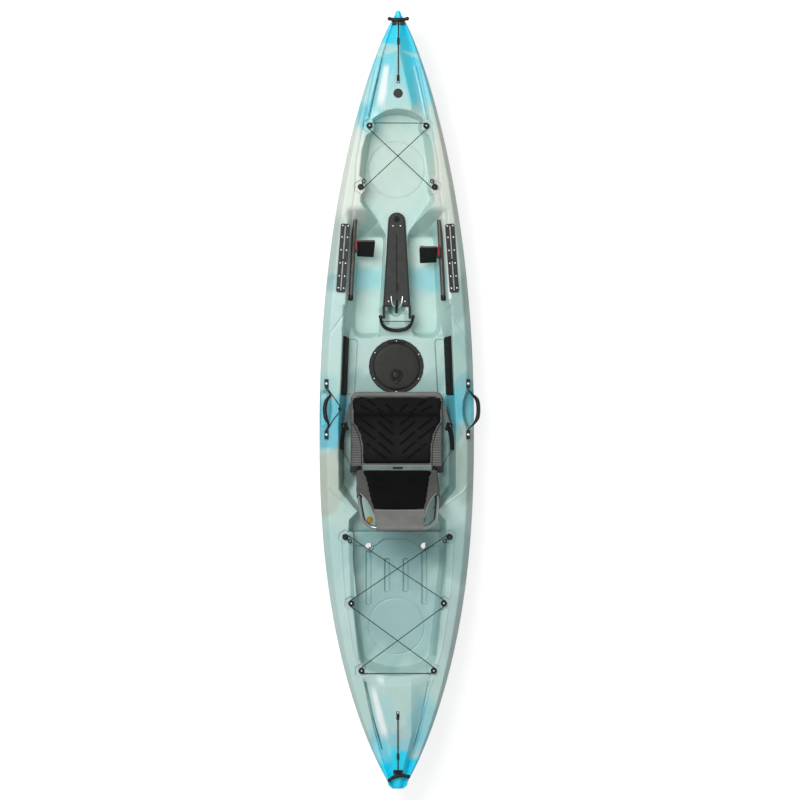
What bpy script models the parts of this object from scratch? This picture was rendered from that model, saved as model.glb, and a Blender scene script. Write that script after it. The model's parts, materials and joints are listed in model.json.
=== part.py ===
"""Sit-on-top fishing kayak: a one-piece moulded hull with its fittings, seat and lashing.

Metres, +Z up. +Y points to the bow and +X to starboard. The origin is on the flat of the keel,
under the middle of the length, so the kayak stands on z = 0.
"""

import math

import bmesh
import bpy
from mathutils import Matrix, Vector

# Overall size and the gaps between pieces
LENGTH = 3.73
BEAM = 0.745
WALL = 0.005
SEAT_GAP = 0.0004
FIT = 0.0005
ROUND_SIDES = 20
TUBE_RESOLUTION = 2

# Hull lines: half breadth is BEAM / 2 * (1 - u ** p) ** q, with u from 0 at the widest station to 1 at an end
WIDEST_Y = -0.144
BOW_FULLNESS = (2.1, 0.81)
STERN_FULLNESS = (2.4, 0.85)
STERN_OVERRUN = 0.034
TIP_HALF_WIDTH = 0.006
STATIONS = 22
SHEER_LOW = 0.268
SHEER_LOW_Y = -0.3
SHEER_BOW = 0.375
SHEER_STERN = 0.335
KEEL_FLAT_BOW_Y = 1.05
KEEL_FLAT_STERN_Y = -1.15
STEM_RISE_BOW = 0.27
STEM_RISE_STERN = 0.20
STEM_POWER = 5
KEEL_FLAT_HALF = 0.05
BEAM_HEIGHT_SHARE = 0.62
SHOULDER_SHARE = 0.11
BILGE_STEPS = 4
SHOULDER_STEPS = 3
BILGE_POWER_MID = 3.0
BILGE_POWER_END = 1.8

# Raised bow and stern decks, with a gutter each side
CROWN = 0.020
GUTTER_DEPTH = 0.012
GUTTER_SHARE = 0.66
GUTTER_WIDTH = 0.010
FULL_SHAPE_HALF = 0.1
BOW_DECK_Y = 1.340
STERN_DECK_Y = -1.325
DECK_FADE = 0.05
BOW_STRIP_TIP_Y = 1.686
STRIP_RATE = 0.254
STRIP_HALF_MIN = 0.008
STRIP_HALF_MAX = 0.065

# Wells
BOW_WELL_Z = 0.190
FOOTWELL_Z = 0.075
MID_DECK_Z = 0.135
TANK_WELL_Z = 0.155
RIM_Z = 0.280
CORNER_STEPS = 3
FOOTWELL_AFT = (0.199, 0.450, 0.2455, 0.474)
FOOTWELL_FORE = (0.183, 0.795, 0.2255, 0.905)
CONSOLE_HALF = 0.0815
RAMP_FORE_Y = 0.430
SEAT_WALL_AFT = (0.244, 0.020, 0.273, 0.020)
SEAT_WALL_FORE = (0.232, 0.311, 0.2596, 0.345)
SEAT_WELL_RIM_Z = 0.270
CHANNEL_DEPTH = 0.008
TRAY = (0.048, 0.354, 0.431, 0.150)
HAND_RECESS_Z = 0.215

# Openings through the hull
HATCH_Y = 0.163
HATCH_OPENING_RADIUS = 0.105
FOOTWELL_SCUPPER = (0.126, 0.739, 0.012)
SEAT_SCUPPER = (0.129, -0.580, 0.012)
TANK_SCUPPER = (0.134, -0.707, 0.0165)
GROOVE_HALF = 0.013
GROOVES = ((0.135, -0.990, -0.728), (0.045, -0.928, -0.766))

# Day hatch
HATCH_SIDES = 24
HATCH_FLANGE_RADIUS = 0.133
RAMP_AFT_Y = HATCH_Y + HATCH_FLANGE_RADIUS + 0.015
HATCH_FLANGE_THICKNESS = 0.006
HATCH_NECK_WALL = 0.006
HATCH_NECK_DEPTH = 0.026
HATCH_LIP = 0.006
GASKET_THICKNESS = 0.003
LID_RADIUS = 0.112
LID_THICKNESS = 0.006
LID_SKIRT = 0.007
LID_SKIRT_WALL = 0.0035
HATCH_HINGE_REACH = 0.120
HATCH_PIN_RADIUS = 0.0024
HATCH_KNUCKLE_HALF = 0.020
HATCH_EAR_WIDTH = 0.021
LATCH_Y = 0.120
LATCH_RADIUS = 0.026
LATCH_THICKNESS = 0.009
LATCH_SHAFT_RADIUS = 0.006

# Console
CONSOLE_FRONT_Y = 0.8646
CONSOLE_FRONT_RADIUS = 0.0415
CONSOLE_AFT_Y = 0.450
CONSOLE_AFT_HALF = 0.0665
CONSOLE_BASE_THICKNESS = 0.008
CONSOLE_PLATE_THICKNESS = 0.003
CONSOLE_PLATE_INSET = 0.009
TRACK_SLOT = 0.006
TRACK_CHANNEL = 0.012
HANDLE_RADIUS = 0.009
HANDLE_HALF = 0.079
HANDLE_PIVOT_Y = 0.402
HANDLE_REACH_Y = RAMP_AFT_Y + 0.015
HANDLE_STUB_RADIUS = 0.003
HANDLE_LUG_WIDTH = 0.012
HANDLE_LUG_HEIGHT = 0.014

# Rails and foot braces
RAIL_WIDTH = 0.041
RAIL_HEIGHT = 0.009
RAIL_INNER_LENGTH = 0.345
RAIL_OUTER_LENGTH = 0.316
RAIL_SLOT = 0.010
RAIL_CHANNEL = 0.017
RAIL_LIP = 0.0025
RAIL_WEB = 0.002
RAIL_FORE = (0.250, 0.848)
RAIL_AFT = (0.274, 0.517)
BRACE_Z = 0.226
BRACE_HEIGHT = 0.020
BRACE_THICKNESS = 0.014
BRACE_GROOVE_DEPTH = 0.006
BRACE_GROOVE_MOUTH = 0.003
BRACE_GROOVE_HALF = 0.005
PEDAL_WIDTH = 0.090
PEDAL_THICKNESS = 0.008
PEDAL_LEFT_Y = 0.728
PEDAL_RIGHT_Y = 0.699
PEDAL_RIBS = 5

# Side carry handles and paddle keeper
ANCHOR_X = BEAM / 2 - 0.031
ANCHOR_FORE_Y = 0.079
ANCHOR_AFT_Y = -0.1665
ANCHOR_LENGTH = 0.043
ANCHOR_WIDTH = 0.019
ANCHOR_HEIGHT = 0.010
HANDLE_PIN_RADIUS = 0.003
GRIP_RADIUS = 0.010
PADDLE_CORD_RADIUS = 0.0023
PADDLE_HOOK = (0.0649 - ANCHOR_X, -0.043)

# Toggles and pad eyes
TOGGLE_CORD_RADIUS = 0.003
TOGGLE_PIN_RADIUS = 0.0025
BOW_PAD_EYE_Y = 1.538
BOW_BRACKET_Y = 1.807
STERN_PAD_EYE_Y = -1.5155
STERN_BRACKET_Y = -1.784

# Deck lashing
BUTTON_RADIUS = 0.015
BUTTON_WAIST = 0.008
BUTTON_CAP = 0.013
BUTTON_BASE_HEIGHT = 0.004
BUTTON_WAIST_HEIGHT = 0.009
BUTTON_CAP_HEIGHT = 0.0045
BUNGEE_RADIUS = 0.0024
BUNGEE_HOOK_RADIUS = 0.0033
BUNGEE_LIFT = 0.003
BOW_BUTTONS = ((0.1365, 1.317), (0.178, 1.024))
STERN_BUTTONS = ((0.2512, -0.6586), (0.2227, -0.978), (0.1739, -1.3015))

# Seat
SEAT_TUBE = 0.011
SEAT_HALF = 0.209
SEAT_WELL_HALF = SEAT_HALF + 0.048
SEAT_FRONT = (0.026, 0.200)
SEAT_REAR = (-0.352, 0.187)
SEAT_REAR_BAR_Y = -0.306
SEAT_CORNER = 0.030
LEG_RADIUS = 0.009
FOOT_RADIUS = 0.014
FOOT_HEIGHT = 0.005
LEG_PLACES = (-0.015, -0.285)
FABRIC = 0.0024
SEAT_SAG = 0.022
SEAT_PANEL_Y = (0.012, -0.03, -0.08, -0.14, -0.20, -0.25, -0.292, -0.318)
SEAT_PANEL_SAG = (0.35, 0.8, 1.0, 1.0, 0.95, 0.6, 0.0, 0.0)
PAD_THICKNESS = 0.012
PIVOT_Y = -0.335
PIVOT_Z = 0.222
PIVOT_PIN_RADIUS = 0.004
BACK_TUBE = 0.0105
BACK_LEAN = 39.5
BACK_PATH = (
    (SEAT_HALF - 0.0275, -0.016),
    (SEAT_HALF - 0.023, 0.15),
    (SEAT_HALF - 0.025, 0.25),
    (SEAT_HALF - 0.037, 0.375),
    (SEAT_HALF - 0.075, 0.4292),
    (0.0, 0.4292),
)
BACK_BEND = 0.04
STRAP_WIDTH = 0.025
STRAP_THICKNESS = 0.002


def fresh_scene():
    """Empty scene with one collection for the parts and one for the cutters."""
    for item in list(bpy.data.objects):
        bpy.data.objects.remove(item)
    for name, hidden in (("fishing_kayak", False), ("cutters", True)):
        group = bpy.data.collections.new(name)
        group.hide_render = hidden
        bpy.context.scene.collection.children.link(group)


def paint(obj, color, roughness, metallic=0.0):
    """Gives an object its own material, with the colour as an sRGB hex string."""
    channels = [int(color[i : i + 2], 16) / 255 for i in (0, 2, 4)]
    linear = [c / 12.92 if c <= 0.04045 else ((c + 0.055) / 1.055) ** 2.4 for c in channels]
    material = bpy.data.materials.new(obj.name)
    material.use_nodes = True
    shader = material.node_tree.nodes["Principled BSDF"]
    shader.inputs["Base Color"].default_value = (*linear, 1)
    shader.inputs["Roughness"].default_value = roughness
    shader.inputs["Metallic"].default_value = metallic
    obj.data.materials.append(material)
    return obj


def place(obj, cutter=False):
    """Puts an object in the parts' collection or, as a hidden wire shape, in the cutters'."""
    bpy.data.collections["cutters" if cutter else "fishing_kayak"].objects.link(obj)
    obj.hide_render = cutter
    obj.display_type = "WIRE" if cutter else "TEXTURED"
    return obj


def from_bmesh(name, shape, matrix=None, cutter=False):
    """Object made from a bmesh, which this frees."""
    if matrix:
        bmesh.ops.transform(shape, matrix=matrix, verts=shape.verts)
    bmesh.ops.recalc_face_normals(shape, faces=shape.faces)
    mesh = bpy.data.meshes.new(name)
    shape.to_mesh(mesh)
    shape.free()
    return place(bpy.data.objects.new(name, mesh), cutter)


def loft(name, rings, matrix=None, cutter=False):
    """Closed skin over a row of rings with equal counts of points, capped flat at both ends."""
    shape = bmesh.new()
    rows = [[shape.verts.new(point) for point in ring] for ring in rings]
    for near, far in zip(rows, rows[1:]):
        for i in range(len(near)):
            j = (i + 1) % len(near)
            shape.faces.new((near[i], near[j], far[j]))
            shape.faces.new((near[i], far[j], far[i]))
    shape.faces.new(rows[0])
    shape.faces.new(rows[-1])
    return from_bmesh(name, shape, matrix, cutter)


def prism(name, section, start, end, axis="Z", matrix=None, cutter=False):
    """Section of two coordinates made solid from start to end along an axis."""
    rings = []
    for along in (start, end):
        if axis == "X":
            rings.append([(along, a, b) for a, b in section])
        elif axis == "Y":
            rings.append([(a, along, b) for a, b in section])
        else:
            rings.append([(a, b, along) for a, b in section])
    return loft(name, rings, matrix, cutter)


def block(name, low, high, matrix=None, cutter=False):
    """Box between two corners."""
    shape = bmesh.new()
    size = Matrix.Diagonal((*(Vector(high) - Vector(low)), 1))
    middle = Matrix.Translation((Vector(low) + Vector(high)) / 2)
    bmesh.ops.create_cube(shape, size=1, matrix=middle @ size)
    return from_bmesh(name, shape, matrix, cutter)


def cylinder(name, radius, start, end, matrix=None, cutter=False, sides=ROUND_SIDES):
    """Cylinder from one point to another."""
    shape = bmesh.new()
    run = Vector(end) - Vector(start)
    turn = run.to_track_quat("Z", "Y").to_matrix().to_4x4()
    middle = Matrix.Translation((Vector(start) + Vector(end)) / 2)
    bmesh.ops.create_cone(
        shape,
        cap_ends=True,
        segments=sides,
        radius1=radius,
        radius2=radius,
        depth=run.length,
        matrix=middle @ turn,
    )
    return from_bmesh(name, shape, matrix, cutter)


def turned(name, profile, spot=(0, 0, 0), matrix=None, cutter=False, sides=ROUND_SIDES):
    """Round piece about an upright axis. Its profile, as (radius, z), runs down the outer side."""
    count = len(profile)
    ring = min(radius for radius, _ in profile) > 0
    mesh = bpy.data.meshes.new(name)
    edges = [(i, (i + 1) % count) for i in range(count if ring else count - 1)]
    mesh.from_pydata([(radius, 0, z) for radius, z in profile], edges, [])
    obj = place(bpy.data.objects.new(name, mesh), cutter)
    obj.matrix_world = matrix if matrix else Matrix.Translation(spot)
    screw = obj.modifiers.new("turn", "SCREW")
    screw.steps = screw.render_steps = sides
    screw.use_merge_vertices = True
    screw.merge_threshold = 0.00001
    return obj


def tube(name, points, radius, factors=(), cyclic=False, matrix=None, cutter=False):
    """Round tube along points, made a mesh so that it can be cut and joined."""
    curve = bpy.data.curves.new(f"{name}_line", "CURVE")
    curve.dimensions = "3D"
    curve.bevel_depth = radius
    curve.bevel_resolution = TUBE_RESOLUTION
    curve.use_fill_caps = not cyclic
    spline = curve.splines.new("POLY")
    spline.points.add(len(points) - 1)
    for knot, point in zip(spline.points, points):
        knot.co = (*point, 1)
    for knot, factor in zip(spline.points, factors):
        knot.radius = factor
    spline.use_cyclic_u = cyclic
    line = place(bpy.data.objects.new(f"{name}_line", curve), cutter=True)
    bpy.context.view_layer.update()
    graph = bpy.context.evaluated_depsgraph_get()
    mesh = bpy.data.meshes.new_from_object(line.evaluated_get(graph))
    bpy.data.objects.remove(line)
    shape = bmesh.new()
    shape.from_mesh(mesh)
    bpy.data.meshes.remove(mesh)
    bmesh.ops.remove_doubles(shape, verts=shape.verts, dist=0.00001)
    return from_bmesh(name, shape, matrix, cutter)


def ribbon(name, points, width, thickness, across, matrix=None):
    """Flat strap along points. Its width lies along the vector across, square to the run."""
    rings = []
    points = [Vector(point) for point in points]
    for i, point in enumerate(points):
        run = (points[min(i + 1, len(points) - 1)] - points[max(i - 1, 0)]).normalized()
        side = (Vector(across) - run * run.dot(Vector(across))).normalized()
        face = run.cross(side)
        rings.append(
            [
                point + side * a * width / 2 + face * b * thickness / 2
                for a, b in ((-1, -1), (1, -1), (1, 1), (-1, 1))
            ]
        )
    return loft(name, rings, matrix)


def boolean(target, other, operation):
    """Boolean modifier on target with other, which becomes a hidden cutter if it isn't one."""
    for group in other.users_collection:
        group.objects.unlink(other)
    place(other, cutter=True)
    modifier = target.modifiers.new(f"{operation.lower()} {other.name}", "BOOLEAN")
    modifier.operation = operation
    modifier.object = other
    modifier.solver = "EXACT"
    return target


def cut(target, *others):
    for other in others:
        boolean(target, other, "DIFFERENCE")
    return target


def join(target, *others):
    for other in others:
        boolean(target, other, "UNION")
    return target


def pivot_at(obj, spot):
    """Moves an object's origin to a joint without moving the object."""
    obj.data.transform(Matrix.Translation(-Vector(spot)))
    obj.location = spot
    return obj


def hang_on(name, spot, *children):
    """Empty on a joint's axis, with children that keep their places."""
    empty = place(bpy.data.objects.new(name, None))
    empty.hide_render = True
    empty.location = spot
    bpy.context.view_layer.update()
    for child in children:
        child.parent = empty
        child.matrix_parent_inverse = empty.matrix_world.inverted()
    return empty


def mirrored(side):
    """Matrix that keeps starboard as it is and mirrors it for port."""
    return Matrix.Diagonal((side, 1, 1, 1))


def share_along(y, near, far):
    """0 at near and 1 at far, clamped."""
    return min(1.0, max(0.0, (y - near) / (far - near)))


def mix(a, b, t):
    return (1 - t) * a + t * b


def half_beam(y):
    """Half breadth of the hull at station y."""
    if y >= WIDEST_Y:
        reach, (p, q) = LENGTH / 2 - WIDEST_Y, BOW_FULLNESS
    else:
        reach, (p, q) = LENGTH / 2 + STERN_OVERRUN + WIDEST_Y, STERN_FULLNESS
    u = min(1.0, abs(y - WIDEST_Y) / reach)
    return max(TIP_HALF_WIDTH, BEAM / 2 * (1 - u**p) ** q)


def sheer_z(y):
    """Height of the gunwale's top."""
    if y >= SHEER_LOW_Y:
        return mix(SHEER_LOW, SHEER_BOW, share_along(y, SHEER_LOW_Y, LENGTH / 2) ** 2)
    return mix(SHEER_LOW, SHEER_STERN, share_along(y, SHEER_LOW_Y, -LENGTH / 2) ** 2)


def keel_z(y):
    """Height of the keel, which is flat amidships and rises into the stems."""
    bow = STEM_RISE_BOW * share_along(y, KEEL_FLAT_BOW_Y, LENGTH / 2) ** STEM_POWER
    stern = STEM_RISE_STERN * share_along(y, KEEL_FLAT_STERN_Y, -LENGTH / 2) ** STEM_POWER
    return bow + stern


def deck_rise(y):
    """0 along the wells and 1 on the raised bow and stern decks."""
    bow = share_along(y, BOW_DECK_Y, BOW_DECK_Y + DECK_FADE)
    stern = share_along(y, STERN_DECK_Y, STERN_DECK_Y - DECK_FADE)
    return max(bow, stern)


def strip_half(y):
    """Half width of the flat strip along the middle of the raised decks."""
    to_tip = BOW_STRIP_TIP_Y - y if y > 0 else LENGTH / 2 + y
    return min(STRIP_HALF_MAX, max(STRIP_HALF_MIN, STRIP_RATE * to_tip), 0.5 * half_beam(y))


def deck_points(y, inset):
    """Starboard half of the deck from the gunwale inwards, as (x, z)."""
    top = sheer_z(y) - inset
    narrow = min(1.0, half_beam(y) / FULL_SHAPE_HALF)
    rise = deck_rise(y) * narrow
    gutter = GUTTER_SHARE * half_beam(y)
    return [
        (gutter + GUTTER_WIDTH * narrow, top),
        (gutter, top - GUTTER_DEPTH * rise),
        (strip_half(y), top + CROWN * rise),
        (0.0, top + CROWN * rise),
    ]


def crown_z(y):
    """Height of the deck on the centreline."""
    return deck_points(y, 0.0)[-1][1]


def hull_ring(y, station, inset):
    """Closed section of the hull at y with the shape of a station, drawn in by inset."""
    half = half_beam(station) - inset
    keel = keel_z(station) + inset
    top = sheer_z(station) - inset
    widest_z = mix(keel, top, BEAM_HEIGHT_SHARE)
    flat = min(KEEL_FLAT_HALF, 0.3 * half)
    shoulder = min(SHOULDER_SHARE * half_beam(station), top - widest_z)
    power = mix(BILGE_POWER_END, BILGE_POWER_MID, half_beam(station) / (BEAM / 2))
    side = [(0.0, keel), (flat, keel)]
    for step in range(1, BILGE_STEPS + 1):
        turn = math.pi / 2 * step / BILGE_STEPS
        side.append(
            (
                flat + (half - flat) * math.sin(turn) ** (2 / power),
                widest_z - (widest_z - keel) * math.cos(turn) ** (2 / power),
            )
        )
    for step in range(SHOULDER_STEPS + 1):
        turn = math.pi / 2 * step / SHOULDER_STEPS
        side.append((half - shoulder * (1 - math.cos(turn)), top - shoulder * (1 - math.sin(turn))))
    side += deck_points(station, inset)
    port = [(-x, z) for x, z in reversed(side[1:-1])]
    return [(x, y, z) for x, z in side + port]


def station_places():
    """Stations from stern to bow, closer towards the ends, with one at each end of a deck's rise."""
    fixed = [
        STERN_DECK_Y - DECK_FADE,
        STERN_DECK_Y,
        BOW_DECK_Y,
        BOW_DECK_Y + DECK_FADE,
    ]
    spread = [LENGTH / 2 * math.sin(math.pi * (k / (STATIONS - 1) - 0.5)) for k in range(STATIONS)]
    free = [y for y in spread if min(abs(y - spot) for spot in fixed) > DECK_FADE]
    return sorted(free + fixed)


def on_stations(y, height):
    """Height at y read off the straight run between the two stations around it."""
    places = station_places()
    for aft, fore in zip(places, places[1:]):
        if aft <= y <= fore:
            return mix(height(aft), height(fore), (y - aft) / (fore - aft))
    return height(y)


def on_deck(x, y, half_length, height=sheer_z, gap=SEAT_GAP):
    """Matrix that stands a piece on the deck, pitched to the deck over the piece's own length."""
    aft = on_stations(y - half_length, height)
    fore = on_stations(y + half_length, height)
    pitch = math.atan2(fore - aft, 2 * half_length)
    top = max((aft + fore) / 2, on_stations(y, height))
    return Matrix.Translation((x, y, top + gap)) @ Matrix.Rotation(pitch, 4, "X")


def rounded(corners, radii):
    """Outline in which each corner is an arc of its radius, or stays sharp where that is 0."""
    points = []
    count = len(corners)
    for i, (corner, radius) in enumerate(zip(corners, radii)):
        here = Vector(corner)
        before = Vector(corners[i - 1]) - here
        after = Vector(corners[(i + 1) % count]) - here
        if not radius:
            points.append(tuple(here))
            continue
        half_angle = before.angle(after) / 2
        tangent = min(radius / math.tan(half_angle), 0.45 * before.length, 0.45 * after.length)
        start = here + before.normalized() * tangent
        end = here + after.normalized() * tangent
        for step in range(CORNER_STEPS + 1):
            t = step / CORNER_STEPS
            points.append(tuple((1 - t) ** 2 * start + 2 * t * (1 - t) * here + t**2 * end))
    return points


def bent(points, radius, closed=False):
    """Line in space whose inner corners are arcs of a radius."""
    radii = [radius] * len(points)
    if not closed:
        radii[0] = radii[-1] = 0
    return rounded([Vector(point) for point in points], radii)


def grown(corners, by):
    """Outline, counter-clockwise, moved outwards by a distance with mitred corners."""
    points = []
    count = len(corners)
    for i, corner in enumerate(corners):
        before = (Vector(corner) - Vector(corners[i - 1])).normalized()
        after = (Vector(corners[(i + 1) % count]) - Vector(corner)).normalized()
        normals = [Vector((edge.y, -edge.x)) for edge in (before, after)]
        outward = (normals[0] + normals[1]) / (1 + normals[0].dot(normals[1]))
        points.append(tuple(Vector(corner) + by * outward))
    return points


def well(name, corners, floor_z, rim_z, by=0.0):
    """Cutter for a well. Each corner is (floor x, floor y, rim x, rim y, radius), counter-clockwise."""
    top_z = rim_z + 0.15
    reach = (top_z - floor_z) / (rim_z - floor_z)
    floor = [(c[0], c[1]) for c in corners]
    top = [(mix(c[0], c[2], reach), mix(c[1], c[3], reach)) for c in corners]
    radii = [c[4] for c in corners]
    rings = []
    for outline, z in ((floor, floor_z - by), (top, top_z)):
        rings.append([(x, y, z) for x, y in rounded(grown(outline, by), radii)])
    return loft(name, rings, cutter=True)


def both_halves(half):
    """Whole outline from its starboard half, which runs counter-clockwise from aft to forward."""
    port = [(-c[0], c[1], -c[2], c[3], c[4]) for c in reversed(half) if c[0] > 0]
    return half + port


def port_side(corners):
    return [(-c[0], c[1], -c[2], c[3], c[4]) for c in reversed(corners)]


def arc_corners(floor_half, floor_end, floor_mid, rim_half, rim_end, rim_mid, steps=3):
    """Corners on a shallow arc across the boat, from its starboard end to just short of the middle."""
    corners = []
    for step in range(steps):
        t = 1 - step / steps
        bulge = 1 - t**2
        corners.append(
            (
                floor_half * t,
                mix(floor_end, floor_mid, bulge),
                rim_half * t,
                mix(rim_end, rim_mid, bulge),
                0,
            )
        )
    return corners


def bow_well_corners():
    """Bow well, with bosses for the deck buttons and a tongue that runs aft over the console hump."""
    half = [
        (CONSOLE_HALF, RAMP_FORE_Y, 0.100, RAMP_FORE_Y, 0),
        (CONSOLE_HALF, 0.848, 0.100, 0.840, 0),
        (0.163, 0.963, 0.179, 0.955, 0),
        (0.162, 0.985, 0.177, 0.986, 0),
        (0.150, 1.008, 0.157, 1.008, 0),
        (0.150, 1.048, 0.157, 1.048, 0),
        (0.158, 1.070, 0.176, 1.075, 0),
        (0.128, 1.275, 0.146, 1.268, 0),
        (0.106, 1.298, 0.114, 1.298, 0),
        (0.106, 1.328, 0.114, 1.333, 0),
    ]
    half += arc_corners(0.118, 1.345, 1.380, 0.1186, 1.355, 1.402)
    return both_halves(half + [(0.0, 1.380, 0.0, 1.402, 0)])


def footwell_corners():
    """Starboard footwell, between the console hump and the gunwale."""
    return [
        (CONSOLE_HALF, 0.321, 0.0715, 0.253, 0.020),
        (0.199, 0.321, 0.254, 0.253, 0.045),
        (0.201, 0.405, 0.2515, 0.402, 0),
        (*FOOTWELL_AFT, 0),
        (*FOOTWELL_FORE, 0.015),
        (0.0575, 0.795, 0.0405, 0.905, 0.020),
    ]


def seat_well_corners():
    """Mid deck and seat well, which narrows behind the seat."""
    return both_halves(
        [
            (0.214, -0.635, 0.233, -0.635, 0),
            (0.212, -0.590, 0.229, -0.578, 0),
            (0.178, -0.525, 0.190, -0.535, 0),
            (SEAT_WELL_HALF, -0.410, SEAT_WELL_HALF + 0.022, -0.430, 0.03),
            (SEAT_WELL_HALF, -0.130, SEAT_WELL_HALF + 0.024, -0.130, 0),
            (*SEAT_WALL_AFT, 0),
            (*SEAT_WALL_FORE, 0.012),
        ]
    )


def tank_well_corners():
    """Tank well behind the seat."""
    arc = arc_corners(0.145, -1.252, -1.292, 0.152, -1.290, -1.318)
    half = [
        *reversed(arc),
        (0.1545, -1.226, 0.172, -1.232, 0),
        (0.182, -1.025, 0.200, -1.025, 0),
        (0.195, -0.900, 0.2135, -0.900, 0),
        (0.206, -0.600, 0.228, -0.600, 0),
    ]
    return both_halves([(0.0, -1.292, 0.0, -1.318, 0), *half])


def hand_recess_corners():
    """Recess in the starboard shoulder, so that fingers go round the carry handle."""
    outer = BEAM / 2 + 0.04
    return [
        (outer, -0.125, outer, -0.150, 0),
        (outer, 0.038, outer, 0.063, 0),
        (ANCHOR_X - 0.0015, 0.036, ANCHOR_X - 0.0035, 0.052, 0.01),
        (ANCHOR_X - 0.0155, -0.005, ANCHOR_X - 0.0215, -0.002, 0),
        (ANCHOR_X - 0.0185, -0.0435, ANCHOR_X - 0.0255, -0.0435, 0),
        (ANCHOR_X - 0.0155, -0.082, ANCHOR_X - 0.0215, -0.085, 0),
        (ANCHOR_X - 0.0015, -0.123, ANCHOR_X - 0.0035, -0.139, 0.01),
    ]


def hull_wells():
    """(name, corners, floor height, rim height) of everything moulded into the deck."""
    width, aft, fore, tray_z = TRAY
    tray = [(width, aft, width, aft, 0), (width, fore, width, fore, 0)]
    ramp = [
        (CONSOLE_HALF, RAMP_AFT_Y - 0.03, CONSOLE_HALF, RAMP_AFT_Y - 0.03, 0),
        (CONSOLE_HALF, RAMP_AFT_Y, CONSOLE_HALF, RAMP_FORE_Y, 0),
    ]
    channel = [
        (0.2014, 0.030, 0.2014, 0.030, 0),
        (0.2425, 0.030, 0.2425, 0.030, 0),
        (0.232, 0.295, 0.232, 0.295, 0),
        (0.196, 0.295, 0.196, 0.295, 0),
        (0.187, 0.281, 0.187, 0.281, 0),
    ]
    wells = [
        ("bow_well", bow_well_corners(), BOW_WELL_Z, 0.320),
        ("seat_well", seat_well_corners(), MID_DECK_Z, SEAT_WELL_RIM_Z),
        ("tank_well", tank_well_corners(), TANK_WELL_Z, RIM_Z),
        ("footwell_right", footwell_corners(), FOOTWELL_Z, RIM_Z),
        ("footwell_left", port_side(footwell_corners()), FOOTWELL_Z, RIM_Z),
        ("console_ramp", both_halves(ramp), MID_DECK_Z, BOW_WELL_Z),
        ("console_tray", both_halves(tray), tray_z, BOW_WELL_Z),
        ("channel_right", channel, MID_DECK_Z - CHANNEL_DEPTH, MID_DECK_Z),
        ("channel_left", port_side(channel), MID_DECK_Z - CHANNEL_DEPTH, MID_DECK_Z),
        ("hand_recess_right", hand_recess_corners(), HAND_RECESS_Z, SHEER_LOW),
        ("hand_recess_left", port_side(hand_recess_corners()), HAND_RECESS_Z, SHEER_LOW),
    ]
    for x, aft, fore in GROOVES:
        for side in (1, -1):
            mid = side * x
            corners = [
                (mid + a * GROOVE_HALF, y, mid + a * GROOVE_HALF, y, 0)
                for a, y in ((-1, aft), (1, aft), (1, fore), (-1, fore))
            ]
            name = f"groove_{'right' if side > 0 else 'left'}_{x:.3f}"
            wells.append((name, corners, TANK_WELL_Z - CHANNEL_DEPTH, TANK_WELL_Z))
    return wells


def build_hull():
    """Rotomoulded hull: outer skin less the wells, less the hollow between skin and wells."""
    places = station_places()
    hull = loft("hull", [hull_ring(y, y, 0.0) for y in places])
    inner = [y for y in places if half_beam(y) > 12 * WALL]
    cavity = loft("cavity", [hull_ring(y * 0.988, y, WALL) for y in inner], cutter=True)
    for name, corners, floor_z, rim_z in hull_wells():
        cut(hull, well(name, corners, floor_z, rim_z))
        cut(cavity, well(f"{name}_skin", corners, floor_z, rim_z, WALL))
    bores = []
    for x, y, radius in (FOOTWELL_SCUPPER, SEAT_SCUPPER, TANK_SCUPPER):
        for side in (1, -1):
            ends = (side * x, y, -0.05), (side * x, y, 0.25)
            tag = f"{'right' if side > 0 else 'left'}_{y:.2f}"
            cut(cavity, cylinder(f"scupper_tube_{tag}", radius + WALL, *ends))
            bores.append(cylinder(f"scupper_bore_{tag}", radius, *ends))
    cut(hull, cavity, *bores)
    cut(
        hull,
        cylinder(
            "hatch_opening",
            HATCH_OPENING_RADIUS,
            (0, HATCH_Y, MID_DECK_Z - 0.06),
            (0, HATCH_Y, MID_DECK_Z + 0.05),
            sides=HATCH_SIDES,
        ),
    )
    return paint(hull, "8fa398", 0.5)


def build_foam():
    """Foam blocks held in the ends of the hull."""
    for name, low, high in (("foam_block_bow", 1.45, 1.75), ("foam_block_stern", -1.75, -1.45)):
        rings = [
            hull_ring(y * 0.988, y, WALL + 2 * SEAT_GAP) for y in station_places() if low < y < high
        ]
        paint(loft(name, rings), "e9e7dc", 0.9)


def build_plug():
    """Bung in the port scupper of the seat well."""
    x, y, radius = SEAT_SCUPPER
    top = MID_DECK_Z + SEAT_GAP
    stem = radius - FIT
    profile = [
        (0, top + 0.014),
        (0.007, top + 0.014),
        (0.008, top + 0.005),
        (radius + 0.004, top + 0.004),
        (radius + 0.004, top),
        (stem, top),
        (stem - 0.002, 0.055),
        (0, 0.055),
    ]
    paint(turned("scupper_plug", profile, (-x, y, 0)), "d9c22e", 0.5)


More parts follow.
